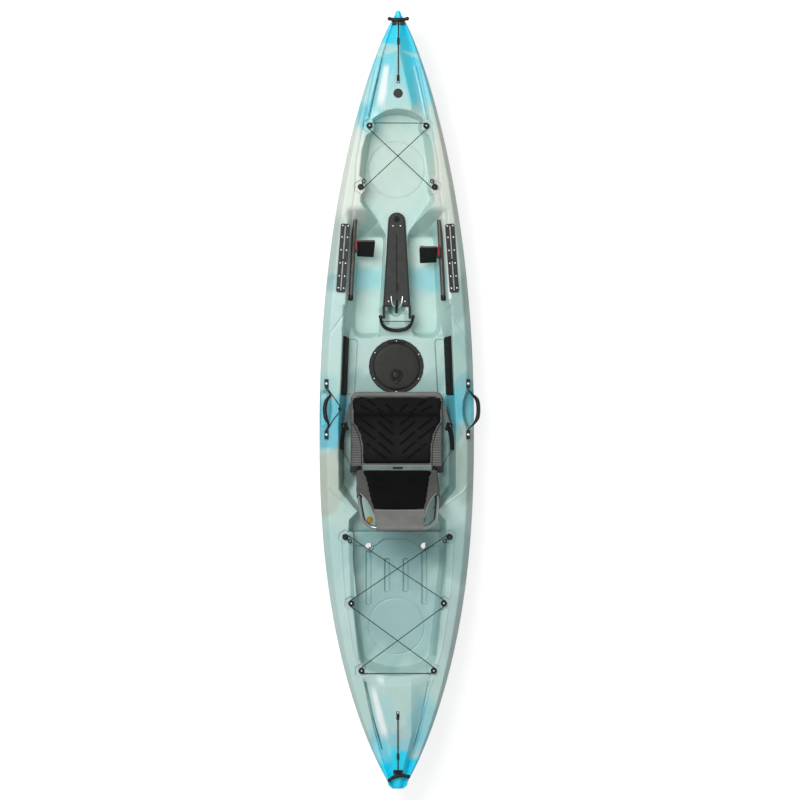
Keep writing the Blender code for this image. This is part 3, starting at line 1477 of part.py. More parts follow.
def build_bungees():
    """Bungee cords over the bow well and the tank well."""
    middle = Vector((0, 0, BUTTON_BASE_HEIGHT + BUTTON_WAIST_HEIGHT / 2))

    def stop(x, y, turn):
        return (*(on_deck(x, y, BUTTON_RADIUS) @ middle), turn)

    fore, aft = BOW_BUTTONS
    build_bungee(
        "bow_bungee",
        [stop(-aft[0], aft[1], 1), stop(fore[0], fore[1], 1), stop(-fore[0], fore[1], 1), stop(*aft, 1)],
        (1, 0, -1),
    )
    fore, mid, aft = STERN_BUTTONS
    build_bungee(
        "stern_bungee",
        [
            stop(-fore[0], fore[1], -1),
            stop(mid[0], mid[1], -1),
            stop(-aft[0], aft[1], 1),
            stop(aft[0], aft[1], 1),
            stop(-mid[0], mid[1], -1),
            stop(fore[0], fore[1], -1),
        ],
        (1, -1, 0, 1, -1),
    )


def seat_tube_z(y):
    """Height of the seat frame's tube at y."""
    return mix(SEAT_FRONT[1], SEAT_REAR[1], share_along(y, SEAT_FRONT[0], SEAT_REAR_BAR_Y))


def build_seat_frame():
    """Seat frame: bent tube, rear bar, four legs with feet, and the two backrest pivots."""
    front_y, front_z = SEAT_FRONT
    path = [
        (-SEAT_HALF, SEAT_REAR[0], SEAT_REAR[1]),
        (-SEAT_HALF, SEAT_REAR_BAR_Y, SEAT_REAR[1]),
        (-SEAT_HALF, front_y, front_z),
        (SEAT_HALF, front_y, front_z),
        (SEAT_HALF, SEAT_REAR_BAR_Y, SEAT_REAR[1]),
        (SEAT_HALF, SEAT_REAR[0], SEAT_REAR[1]),
    ]
    radii = [0, 0, SEAT_CORNER, SEAT_CORNER, 0, 0]
    frame = tube("seat_frame", rounded([Vector(p) for p in path], radii), SEAT_TUBE)
    bar = tube(
        "seat_rear_bar",
        [(-SEAT_HALF, SEAT_REAR_BAR_Y, SEAT_REAR[1]), (SEAT_HALF, SEAT_REAR_BAR_Y, SEAT_REAR[1])],
        SEAT_TUBE - 0.0004,
    )
    join(frame, bar)
    for side in (1, -1):
        for y in LEG_PLACES:
            spot = (side * SEAT_HALF, y, 0)
            foot = MID_DECK_Z + SEAT_GAP
            profile = [
                (0, seat_tube_z(y) - 0.002),
                (LEG_RADIUS, seat_tube_z(y) - 0.002),
                (LEG_RADIUS, foot + FOOT_HEIGHT + 0.003),
                (FOOT_RADIUS, foot + FOOT_HEIGHT),
                (FOOT_RADIUS, foot),
                (0, foot),
            ]
            join(frame, turned(f"seat_leg_{side}_{y:.2f}", profile, spot, sides=12))
    paint(frame, "8d9194", 0.4, 0.8)
    for side, name in ((1, "seat_pivot_right"), (-1, "seat_pivot_left")):
        outer = SEAT_HALF + SEAT_TUBE + 0.005
        inner = SEAT_HALF - SEAT_TUBE - 0.0045
        bracket = block(
            name,
            (inner, SEAT_REAR[0] + 0.002, SEAT_REAR[1] - SEAT_TUBE - 0.005),
            (outer, SEAT_PANEL_Y[-1] - 0.0016, SEAT_REAR[1] + SEAT_TUBE + 0.005),
            mirrored(side),
        )
        upright = block(
            f"{name}_plate",
            (inner - 0.0004, PIVOT_Y - 0.012, SEAT_REAR[1]),
            (inner + 0.0042, PIVOT_Y + 0.012, PIVOT_Z + 0.012),
            mirrored(side),
        )
        clamp = cylinder(
            f"{name}_clamp",
            SEAT_TUBE + FIT,
            (SEAT_HALF, SEAT_REAR[0] - 0.02, SEAT_REAR[1]),
            (SEAT_HALF, PIVOT_Y + 0.04, SEAT_REAR[1]),
            mirrored(side),
            sides=16,
        )
        pin = cylinder(
            f"{name}_pin",
            PIVOT_PIN_RADIUS,
            (inner + 0.002, PIVOT_Y, PIVOT_Z),
            (BACK_PATH[0][0] - BACK_TUBE - 0.003, PIVOT_Y, PIVOT_Z),
            mirrored(side),
            sides=12,
        )
        join(bracket, upright, pin)
        cut(bracket, clamp)
        paint(bracket, "17181a", 0.5)


def panel_z(x, y):
    """Height of the middle of the seat fabric inboard of the side tubes."""
    level = SEAT_TUBE + FIT + FABRIC / 2
    sag = 0.0
    for (y1, s1), (y2, s2) in zip(
        zip(SEAT_PANEL_Y, SEAT_PANEL_SAG), list(zip(SEAT_PANEL_Y, SEAT_PANEL_SAG))[1:]
    ):
        if y2 <= y <= y1:
            sag = mix(s1, s2, (y - y1) / (y2 - y1))
    share = min(1.0, abs(x) / SEAT_HALF)
    return seat_tube_z(y) + level - SEAT_SAG * sag * (1 - share**2)


def build_seat_panel():
    """Stretched seat fabric with its edges round the side tubes."""
    rings = []
    wrap = SEAT_TUBE + FIT + FABRIC / 2
    for y in SEAT_PANEL_Y:
        half = []
        for degrees in (-8, 20, 48, 76, 102):
            angle = math.radians(degrees)
            out = Vector((math.cos(angle), math.sin(angle)))
            centre = Vector((SEAT_HALF, seat_tube_z(y)))
            half.append((centre + out * (wrap + FABRIC / 2), centre + out * (wrap - FABRIC / 2)))
        for x in (SEAT_HALF - 0.039, SEAT_HALF - 0.089, SEAT_HALF - 0.149, 0.0):
            z = panel_z(x, y)
            half.append((Vector((x, z + FABRIC / 2)), Vector((x, z - FABRIC / 2))))
        over = [pair[0] for pair in half]
        under = [pair[1] for pair in half]
        flip = Matrix.Diagonal((-1, 1))
        ring = over + [flip @ p for p in reversed(over[:-1])] + [flip @ p for p in under[:-1]]
        ring += list(reversed(under))
        rings.append([(p.x, y, p.y) for p in ring])
    paint(loft("seat_panel", rings), "8b8f90", 0.85)


def pad(name, rows, columns, matrix=None):
    """Quilted pad. Each row is (along, half width, underside as a function of both, thickness)."""
    rings = []
    for along, half, bottom, thickness in rows:
        under, over = [], []
        for k in range(-columns, columns + 1):
            share = k / columns
            x = half * share
            edge = 1 - 0.55 * abs(share) ** 6
            low = bottom(x, along)
            under.append((x, along, low))
            over.append((x, along, low + thickness * edge))
        rings.append(under + list(reversed(over)))
    return loft(name, rings, matrix)


def channel_rows(start, end, half_start, half_end, count, thickness, bottom):
    """Rows of a pad with drawn-in ends and a number of sewn channels across it."""
    rows = []
    step = (end - start) / count
    for k in range(count):
        for share, height in ((0.0, 0.55), (0.18, 0.95), (0.5, 1.0), (0.82, 0.95)):
            t = (k + share) / count
            if k == 0 and share == 0.0:
                height = 0.3
            rows.append((start + step * (k + share), mix(half_start, half_end, t), bottom, thickness * height))
    rows.append((end, half_end, bottom, thickness * 0.3))
    return rows


def build_seat_cover():
    """Channelled pad on the seat fabric."""

    def bottom(x, y):
        return panel_z(x, y) + FABRIC / 2 + 0.0014

    rows = channel_rows(0.006, -0.300, SEAT_HALF - 0.021, SEAT_HALF - 0.043, 6, PAD_THICKNESS, bottom)
    paint(pad("seat_cover", rows, 5), "18191b", 0.85)


def back_matrix():
    """Frame of the backrest: x across, y up its slope from the pivot, z out of its front face."""
    lean = Matrix.Rotation(math.radians(90 + BACK_LEAN), 4, "X")
    return Matrix.Translation((0, PIVOT_Y, PIVOT_Z)) @ lean @ Matrix.Rotation(math.pi, 4, "Y")


def build_back():
    """Folding backrest: bent tube, grey sleeve and black pad, on the pivots' pins."""
    matrix = back_matrix()
    half = [(x, s, 0) for x, s in BACK_PATH[:-1]]
    path = half + [(-x, s, z) for x, s, z in reversed(half)]
    frame = tube("back_frame", bent(path, BACK_BEND), BACK_TUBE, matrix=matrix)
    bore = cylinder(
        "back_pin_bore",
        PIVOT_PIN_RADIUS + FIT,
        (-0.25, PIVOT_Y, PIVOT_Z),
        (0.25, PIVOT_Y, PIVOT_Z),
        sides=12,
    )
    cut(frame, bore)
    paint(frame, "b4b7ba", 0.35, 1.0)
    wrap = BACK_TUBE + FIT + FABRIC / 2
    rings = []
    for s in (0.018, 0.08, BACK_PATH[1][1], 0.205):
        x_tube = mix(BACK_PATH[0][0], BACK_PATH[1][0], share_along(s, BACK_PATH[0][1], BACK_PATH[1][1]))
        if s > BACK_PATH[1][1]:
            x_tube = mix(BACK_PATH[1][0], BACK_PATH[2][0], share_along(s, BACK_PATH[1][1], BACK_PATH[2][1]))
        over, under = [], []
        for degrees in (-60, -30, 0, 30, 60, 90):
            out = Vector((math.cos(math.radians(degrees)), math.sin(math.radians(degrees))))
            centre = Vector((x_tube, 0))
            over.append(centre + out * (wrap + FABRIC / 2))
            under.append(centre + out * (wrap - FABRIC / 2))
        flip = Matrix.Diagonal((-1, 1))
        ring = over + [flip @ p for p in reversed(over)] + [flip @ p for p in under]
        ring += list(reversed(under))
        rings.append([(p.x, s, p.y) for p in ring])
    sleeve = loft("back_sleeve", rings, matrix)
    sheet = prism(
        "back_sheet",
        [(-0.158, 0.195), (0.158, 0.195), (0.119, 0.385), (-0.119, 0.385)],
        wrap - 0.001,
        wrap + 0.001,
        matrix=matrix,
    )
    over, under = [(0.360, wrap + FABRIC / 2)], [(0.360, wrap - FABRIC / 2)]
    for degrees in (90, 63, 36, 9, -18, -45, -72, -99):
        out = Vector((math.cos(math.radians(degrees)), math.sin(math.radians(degrees))))
        centre = Vector((BACK_PATH[-1][1], 0))
        over.append(tuple(centre + out * (wrap + FABRIC / 2)))
        under.append(tuple(centre + out * (wrap - FABRIC / 2)))
    top = prism("back_top", over + list(reversed(under)), -0.108, 0.108, "X", matrix)
    join(sleeve, sheet, top)
    paint(sleeve, "858a8c", 0.85)

    def bottom(_x, _s):
        return wrap + FABRIC / 2 + SEAT_GAP

    rows = channel_rows(0.022, 0.3176, SEAT_HALF - 0.043, SEAT_HALF - 0.0845, 6, PAD_THICKNESS, bottom)
    cover = pad("back_panel", rows, 3, matrix)
    paint(cover, "18191b", 0.85)
    hang_on("back_pivot_axis", (0, PIVOT_Y, PIVOT_Z), frame, sleeve, cover)


def build_straps():
    """Straps from the sides of the seat to the walls of the seat well."""
    for side, name in ((1, "leg_strap_right"), (-1, "leg_strap_left")):
        path = [
            (SEAT_HALF + 0.0153, -0.020, 0.196),
            (SEAT_HALF + 0.0200, -0.050, 0.196),
            (SEAT_HALF + 0.0330, -0.090, 0.204),
            (SEAT_HALF + 0.0440, -0.125, 0.213),
            (SEAT_HALF + 0.0550, -0.160, 0.222),
            (SEAT_HALF + 0.0605, -0.195, 0.230),
            (SEAT_HALF + 0.0613, -0.240, 0.236),
        ]
        strap = ribbon(name, path, STRAP_WIDTH, STRAP_THICKNESS, (0.17, 0, 1), mirrored(side))
        buckle = ribbon(
            f"{name}_buckle",
            [(SEAT_HALF + 0.0409, -0.115, 0.2104), (SEAT_HALF + 0.0487, -0.140, 0.2169)],
            STRAP_WIDTH + 0.008,
            0.007,
            (0.17, 0, 1),
            mirrored(side),
        )
        paint(join(strap, buckle), "6f7476", 0.8)


def main():
    fresh_scene()
    build_hull()
    build_foam()
    build_plug()
    build_hatch()
    build_console()
    build_accessory_rails()
    build_foot_braces()
    build_side_pads()
    build_carry_handles()
    build_toggle("bow", BOW_BRACKET_Y, BOW_PAD_EYE_Y, 1, (1.734, 1.704), 0.044, 0)
    build_toggle("stern", STERN_BRACKET_Y, STERN_PAD_EYE_Y, -1, (-1.724, -1.696), 0.052, 10)
    build_buttons()
    build_bungees()
    build_seat_frame()
    build_seat_panel()
    build_seat_cover()
    build_back()
    build_straps()


main()
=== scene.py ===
"""A sit-on-top fishing kayak seen from straight above: its moulded hull, fittings, seat, studio and camera."""
import json
import math

import bmesh
import bpy
import numpy as np
from mathutils import Matrix, Vector


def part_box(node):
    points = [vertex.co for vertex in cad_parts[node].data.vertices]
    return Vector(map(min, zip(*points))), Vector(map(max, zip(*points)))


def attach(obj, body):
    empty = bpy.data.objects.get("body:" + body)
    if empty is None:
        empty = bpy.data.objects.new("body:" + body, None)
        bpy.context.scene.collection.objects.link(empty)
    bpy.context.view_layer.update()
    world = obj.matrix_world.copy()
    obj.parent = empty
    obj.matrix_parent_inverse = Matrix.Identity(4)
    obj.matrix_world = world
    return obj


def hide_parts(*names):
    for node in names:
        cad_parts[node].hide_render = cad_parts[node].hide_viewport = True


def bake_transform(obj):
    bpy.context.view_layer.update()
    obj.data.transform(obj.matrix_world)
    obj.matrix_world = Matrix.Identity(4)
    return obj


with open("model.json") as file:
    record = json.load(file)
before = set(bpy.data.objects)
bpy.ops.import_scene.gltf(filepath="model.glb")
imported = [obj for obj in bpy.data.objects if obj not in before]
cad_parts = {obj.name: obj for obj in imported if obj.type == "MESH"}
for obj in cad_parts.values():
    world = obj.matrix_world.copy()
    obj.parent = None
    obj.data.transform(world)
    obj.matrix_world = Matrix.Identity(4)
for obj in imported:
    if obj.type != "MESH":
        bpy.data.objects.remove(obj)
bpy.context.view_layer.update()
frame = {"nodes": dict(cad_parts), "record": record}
NODES = frame["nodes"]
SIDES = (("right", 1), ("left", -1))
# metres a pixel of the photograph's frame, and the column of the hull's centre line
PIXEL = 0.00479
CENTRE_LINE = 396.75

# Colours and node helpers


def colour(code):
    """An sRGB hex code as the linear colour that Blender's sockets take."""
    parts = np.array([int(code[i:i + 2], 16) / 255 for i in (1, 3, 5)])
    linear = np.where(parts <= 0.04045, parts / 12.92, ((parts + 0.055) / 1.055) ** 2.4)
    return (*linear.tolist(), 1.0)


def add(tree, kind, links=None, values=None, **settings):
    """Adds one node. links are the sources and values the values of its sockets, by name or number; settings are
    its properties or, by socket name, values."""
    node = tree.nodes.new(kind)
    for key, value in settings.items():
        if hasattr(node, key):
            setattr(node, key, value)
        else:
            node.inputs[key.replace("_", " ")].default_value = value
    for key, value in (values or {}).items():
        node.inputs[key].default_value = value
    for key, source in (links or {}).items():
        tree.links.new(source, node.inputs[key])
    return node


def ramp(tree, source, *stops):
    """A colour ramp on source; stops are pairs of position and hex colour."""
    node = add(tree, "ShaderNodeValToRGB", {"Fac": source})
    while len(node.color_ramp.elements) < len(stops):
        node.color_ramp.elements.new(0.5)
    for element, (place, code) in zip(node.color_ramp.elements, stops):
        element.position = place
        element.color = colour(code)
    return node.outputs["Color"]


def cleared(holder):
    """Turns on the nodes of a material or a world and empties its tree."""
    holder.use_nodes = True
    holder.node_tree.nodes.clear()
    return holder.node_tree


def shader(name):
    """A new material with an empty tree, its Principled shader and the Object coordinates."""
    material = bpy.data.materials.new(name)
    tree = cleared(material)
    surface = add(tree, "ShaderNodeBsdfPrincipled")
    add(tree, "ShaderNodeOutputMaterial", {"Surface": surface.outputs["BSDF"]})
    place = add(tree, "ShaderNodeTexCoord").outputs["Object"]
    return material, tree, surface, place


def bump(tree, surface, height, strength, distance):
    """Feeds a height field to the shader's normal."""
    node = add(tree, "ShaderNodeBump", {"Height": height}, Strength=strength, Distance=distance)
    tree.links.new(node.outputs["Normal"], surface.inputs["Normal"])


# Hull shape. Every function takes whole arrays

HALF_LENGTH = 1.865
HALF_BEAM = 0.3725
WIDEST_Y = -0.144
# height of the deck's edge amidships, at the bow and at the stern; rise of the keel at both ends
SHEER, BOW_SHEER, STERN_SHEER = 0.268, 0.375, 0.335
BOW_ROCKER, STERN_ROCKER = 0.27, 0.20


def mix(a, b, part):
    """The value that lies a part of the way from a to b."""
    return a + (b - a) * part


def share(value, low, high):
    """How far value has come from low to high, held between 0 and 1."""
    return np.clip((value - low) / (high - low), 0.0, 1.0)


def half_beam(y):
    """Half the hull's width: one power curve forward of the widest place and another aft of it."""
    fore = y >= WIDEST_Y
    reach = np.where(fore, 2.009, 1.755)
    power = np.where(fore, 2.1, 2.4)
    fall = np.where(fore, 0.81, 0.85)
    part = np.minimum(1.0, np.abs(y - WIDEST_Y) / reach)
    half = np.maximum(0.006, HALF_BEAM * (1 - part ** power) ** fall)
    # both ends are blunt: quarter ellipses, the stern's wider
    blunt = np.where(fore, .0150, .0465) * np.sqrt(np.clip(1 - share(np.abs(y), 1.838, 1.8665) ** 2.5, 0, 1))
    return np.where(np.abs(y) > 1.80, np.maximum(half, blunt), half)


def sheer(y):
    """Height of the deck's edge: level amidships, rising with the square of the way to each end."""
    bow = mix(SHEER, BOW_SHEER, share(y, -0.3, HALF_LENGTH) ** 2)
    stern = mix(SHEER, STERN_SHEER, share(y, -0.3, -HALF_LENGTH) ** 2)
    return np.where(y >= -0.3, bow, stern)


def keel(y):
    """Height of the keel: level, then rocker by a fifth power at each end."""
    bow = BOW_ROCKER * share(y, 1.05, HALF_LENGTH) ** 5
    return bow + STERN_ROCKER * share(y, -1.15, -HALF_LENGTH) ** 5


def ease(part):
    """A share with level ends: three squares less two cubes."""
    return part * part * (3 - 2 * part)


def bare_deck(x, y):
    """Deck without its wells: level across, and near the ends a raised middle strip with facets down to a
    gutter on each side, blended in over 50 mm."""
    top = sheer(y)
    half = half_beam(y)
    narrow = np.minimum(1.0, half / 0.1)
    rise = np.maximum(share(y, 1.340, 1.390), share(y, -1.325, -1.375)) * narrow
    to_tip = np.where(y > 0, 1.686 - y, HALF_LENGTH + y)
    strip = np.minimum(np.minimum(0.065, np.maximum(0.008, 0.254 * to_tip)), 0.5 * half)
    gutter = 0.66 * half
    away = np.abs(x)
    facet = mix(0.022, -0.017, share(away, strip, gutter))
    facet = mix(facet, 0.0, ease(share(away, gutter, gutter + 0.008 * narrow)))
    crown = 0.004 * (1 - np.minimum(1.0, away / half) ** 2)
    return top + rise * facet + crown * (1 - np.minimum(1, rise))


def lower(a, b, width):
    """The smaller of two heights, with the corner between them rounded over width."""
    over = np.maximum(width - np.abs(a - b), 0.0) / width
    return np.minimum(a, b) - over * over * width / 4


def upper(a, b, width):
    """The larger of two heights, with the corner between them rounded over width."""
    return -lower(-a, -b, width)


def rounded(points, radii):
    """A closed outline whose corners with a radius become quadratic curves of six points."""
    points = np.asarray(points, float)
    out = []
    for i, radius in enumerate(radii):
        here = points[i]
        if not radius:
            out.append(here[None])
            continue
        back = points[i - 1] - here
        ahead = points[(i + 1) % len(points)] - here
        back = back / np.hypot(*back)
        ahead = ahead / np.hypot(*ahead)
        half_angle = math.acos(np.clip(back @ ahead, -1, 1)) / 2
        reach = radius / math.tan(half_angle)
        start, stop = here + back * reach, here + ahead * reach
        t = np.linspace(0, 1, 6)[:, None]
        # quadratic curve through the two tangent points
        out.append((1 - t) ** 2 * start + 2 * t * (1 - t) * here + t ** 2 * stop)
    return np.vstack(out)


def box_outline(x0, y0, x1, y1, radius):
    """A rounded rectangle between two corners."""
    return rounded([(x0, y0), (x1, y0), (x1, y1), (x0, y1)], [radius] * 4)


def side(x, y, outline):
    """Signed distance of points to a closed outline, negative inside, by the nearest edge and crossings."""
    best = np.full(x.shape, 1e9)
    inside = np.zeros(x.shape, bool)
    for (ax, ay), (bx, by) in zip(outline, np.roll(outline, -1, axis=0)):
        dx, dy = bx - ax, by - ay
        along = np.clip(((x - ax) * dx + (y - ay) * dy) / (dx * dx + dy * dy + 1e-12), 0, 1)
        best = np.minimum(best, (x - ax - along * dx) ** 2 + (y - ay - along * dy) ** 2)
        if ay != by:
            crosses = ((ay > y) != (by > y)) & (x < (bx - ax) * (y - ay) / (by - ay) + ax)
            inside ^= crosses
    return np.where(inside, -1.0, 1.0) * np.sqrt(best)


def mirrored(points):
    """A starboard half outline closed by its port mirror image."""
    other = [(-x, y) for x, y in reversed(points) if x > 1e-6]
    return list(points) + other


# Wells, each with its floor's height, its rim's height, the floor's outline, the rim's outline and corner radii


def well_table():
    """The wells as the CAD has them, starboard halves mirrored where the well crosses the centre line."""
    arc = np.linspace(0.0, 1.0, 9)
    bow_floor = [(0.0815, .430), (.0815, .848), (.163, .963), (.162, .985), (.150, 1.008), (.150, 1.048),
                 (.158, 1.070), (.128, 1.275), (.106, 1.298), (.106, 1.328)]
    bow_floor += [(0.118 * (1 - t), mix(1.345, 1.380, 1 - (1 - t) ** 2)) for t in arc]
    bow_rim = [(.100, .430), (.100, .840), (.179, .955), (.177, .986), (.157, 1.008), (.157, 1.048),
               (.182, 1.078), (.169, 1.1975), (.148, 1.270), (.114, 1.298), (.114, 1.333)]
    bow_rim += [(0.1186 * (1 - t), mix(1.351, 1.391, 1 - (1 - t) ** 2)) for t in arc]
    seat_floor = [(.232, .311), (.244, .020), (.257, -.130), (.257, -.410), (.178, -.525), (.212, -.590),
                  (.214, -.635)]
    seat_rim = [(.2596, .345), (.273, .020), (.281, -.130), (.279, -.430), (.190, -.535), (.229, -.578),
                (.233, -.635)]
    tank_floor = [(.2085, -.600), (.2085, -.770), (.197, -.880), (.187, -.980), (.1755, -1.086),
                  (.1585, -1.235)]
    tank_floor += [(0.145 * (1 - t), mix(-1.252, -1.292, 1 - (1 - t) ** 2)) for t in arc]
    tank_rim = [(.236, -.600), (.2355, -.680), (.234, -.770), (.2225, -.870), (.2068, -.955), (.2055, -1.000),
                (.200, -1.080), (.181, -1.245)]
    tank_rim += [(0.152 * (1 - t), mix(-1.290, -1.318, 1 - (1 - t) ** 2)) for t in arc]
    foot_floor = [(.0815, .321), (.199, .321), (.201, .405), (.199, .450), (.183, .795), (.0575, .795)]
    foot_rim = [(.0715, .253), (.254, .253), (.2515, .402), (.2455, .474), (.2255, .905), (.0405, .905)]
    foot_radii = [.020, .045, 0, 0, .015, .020]
    hand_floor = [(.4125, -.125), (.4125, .038), (.340, .036), (.326, -.005), (.323, -.0435), (.326, -.082),
                  (.340, -.123)]
    hand_rim = [(.4125, -.150), (.4125, .063), (.338, .052), (.320, -.002), (.316, -.0435), (.320, -.085),
                (.338, -.139)]
    hand_radii = [0, 0, .010, 0, 0, 0, .010]
    table = [
        (.190, .320, mirrored(bow_floor), mirrored(bow_rim), None),
        (.135, .270, mirrored(seat_floor), mirrored(seat_rim), [0, 0, 0, .03, 0, 0, 0]),
        (.155, .280, mirrored(tank_floor), mirrored(tank_rim), None),
    ]
    # the footwell's outer wall runs on into the seat well's side without a corner
    link_floor = [(.150, .300), (.232, .300), (.2045, .450), (.150, .450)]
    link_rim = [(.140, .280), (.2603, .300), (.2525, .450), (.140, .460)]
    for turn in (1, -1):
        flip = [(turn * x, y) for x, y in link_floor], [(turn * x, y) for x, y in link_rim]
        table.append((.135, .270, *flip, [0, 0, 0, 0]))
        flip = [(turn * x, y) for x, y in foot_floor], [(turn * x, y) for x, y in foot_rim]
        table.append((.075, .280, *flip, foot_radii))
        flip = [(turn * x, y) for x, y in hand_floor], [(turn * x, y) for x, y in hand_rim]
        table.append((.215, .268, *flip, hand_radii))
    return table


def well_height(x, y, floor, rim, inner, outer, radii):
    """Height inside one well: the floor, then a wall straight from the floor's outline to the rim's."""
    count = len(inner)
    if radii is None:
        radii = [0] * count
    if len(radii) < count:
        other = zip(reversed(inner[:len(radii)]), reversed(radii))
        radii = list(radii) + [radius for (px, _), radius in other if px > 1e-6]
    to_floor = side(x, y, rounded(inner, radii))
    to_rim = side(x, y, rounded(outer, radii))
    climb = to_floor / np.maximum(to_floor - to_rim, 0.004)
    return upper(np.full(x.shape, floor), floor + climb * (rim - floor), 0.026)


def off_line(x, y, a, b):
    """Distance of points from the line between two places, and how far along it their nearest place is."""
    dx, dy = b[0] - a[0], b[1] - a[1]
    along = np.clip(((x - a[0]) * dx + (y - a[1]) * dy) / (dx * dx + dy * dy), 0, 1)
    return np.hypot(x - a[0] - along * dx, y - a[1] - along * dy), along


def grooved(x, y, points, width, depth):
    """A groove (or, with a negative depth, a bead) along a broken line, with a bell-shaped section."""
    best = np.full(x.shape, 1e9)
    for a, b in zip(points[:-1], points[1:]):
        best = np.minimum(best, off_line(x, y, a, b)[0])
    return -depth * np.exp(-(best / width) ** 2)


def at(px, py):
    """Place in metres of a point of the photograph's frame."""
    return (px - CENTRE_LINE) * PIXEL, (400 - py) * PIXEL


BUTTONS = ("deck_button_bow_1", "deck_button_bow_2", "deck_button_stern_1", "deck_button_stern_2",
           "deck_button_stern_3")
HATCH = (0.0, 0.163)
HATCH_HOLE = .107
# place and radius of each scupper
SCUPPERS = [(.126, .739, .012), (-.126, .739, .012), (.129, -.580, .012), (-.129, -.580, .012),
            (.134, -.707, .0165), (-.134, -.707, .0165)]


def over_node(node):
    """Middle of a CAD node's plan and the height of its top."""
    low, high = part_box(node)
    return (low[0] + high[0]) / 2, (low[1] + high[1]) / 2, high[2]


def pocket(x, y, outline, radii, floor, wall):
    """Height of a small pocket: its floor, then over the width wall a slope of 62 degrees up to the outline."""
    outside = side(x, y, rounded(outline, radii)) + wall
    return upper(np.full(x.shape, floor), floor + 1.9 * outside, .014)


def deck(x, y, drop):
    """The whole deck: bare deck less the shoulder's drop, wells rounded into it, then channels, sunk rings and
    button seats, the raised step and the creases."""
    z = bare_deck(x, y) - drop
    wells = np.full(x.shape, 1.0)
    for floor, rim, inner, outer, radii in well_table():
        outline = np.asarray(outer)
        low = outline.min(axis=0) - 0.03
        high = outline.max(axis=0) + 0.03
        near = (x > low[0]) & (x < high[0]) & (y > low[1]) & (y < high[1])
        height = well_height(x[near], y[near], floor, rim, inner, outer, radii)
        wells[near] = lower(wells[near], height, 0.010)
    # ramp from the seat well's floor up to the bow well's, with a slope beyond its half width
    ramp_y = share(y, .311, .430)
    over = (np.abs(x) - .0815) / .0185
    ramp_height = mix(.135, .190, ramp_y) + np.maximum(over, 0) * .13
    ramp_height = np.where((y > .305) & (y < .436), ramp_height, 1.0)
    wells = np.minimum(wells, ramp_height)
    z = lower(z, wells, 0.032)
    # tray at the foot of the console and the round scoop before it
    tray = pocket(x, y, [(-.050, .350), (.050, .350), (.050, .432), (-.050, .432)], [.012, .012, .03, .03],
                  .150, .012)
    z = lower(z, tray, .006)
    scoop = .132 + np.maximum(np.hypot(x, y - .436) - .026, 0) * 3.2
    z = lower(z, np.where(y > .40, scoop, 1.0), .008)
    # grooves of the tank well's floor and the two drain channels beside the hatch
    for gx, aft, fore in ((.135, -.990, -.728), (.045, -.928, -.766)):
        for turn in (1, -1):
            edge = side(x, y, box_outline(turn * gx - .013, aft, turn * gx + .013, fore, .01))
            z = z - .013 * ease(share(edge, .001, -.004))
    for turn in (1, -1):
        outline = [(turn * px, py) for px, py in ((.2014, .030), (.2425, .030), (.232, .295), (.196, .295),
                                                 (.187, .281))]
        z = z - .008 * ease(share(side(x, y, np.asarray(outline)), .0015, -.0025))
    # plain rings sunk in the floors of the two wells
    for cy in (1.111, -1.094):
        ring = np.abs(np.hypot(x, y - cy) - .136)
        z = z - .0030 * np.exp(-(ring / .0026) ** 2) * (z < .205)
    # hexagonal seat sunk under each deck button
    for name in BUTTONS:
        for tag, _ in SIDES:
            cx, cy, _ = over_node(f"{name}_{tag}")
            angle = np.arctan2(y - cy, x - cx)
            reach = np.hypot(x - cx, y - cy)
            hexagon = reach * np.cos((angle + math.pi / 6) % (math.pi / 3) - math.pi / 6)
            z = z - .0055 * ease(share(hexagon, .0310, .0278)) * (z > .25)
    # raised step with cut corners at the front of the tank well
    step = np.asarray([at(348.6, 532), at(444.9, 532), at(444.9, 547.2), at(419.5, 547.8), at(407, 540.4),
                       at(383.8, 540.4), at(375.3, 547.2), at(348.6, 547.2)])
    z = z + .011 * ease(share(side(x, y, step), .003, -.003)) * (z < .2)
    # creases along the gunwales and round the cockpit
    for turn in (1, -1):
        for line, width, depth in CREASES:
            z = z + grooved(turn * x, y, [at(*p) for p in line], width, depth)
    return z


# Creases of the starboard half, each a line of (px, py) places, a width and a depth; a negative depth is a bead
CREASES = [
    ([(419.3, 67.6), (429.7, 119.3), (432.5, 131), (438.1, 163), (438.9, 187), (441.5, 207)], .004, .0028),
    ([(444.2, 301), (445.2, 307), (463.8, 332.7), (468.8, 345), (471.2, 388)], .0038, .0030),
    ([(474.5, 470), (469.5, 482), (463.5, 492), (436.5, 512)], .0038, -.0026),
    ([(453.5, 540), (450.5, 590), (441.5, 650), (413.5, 742)], .0030, -.0030),
]
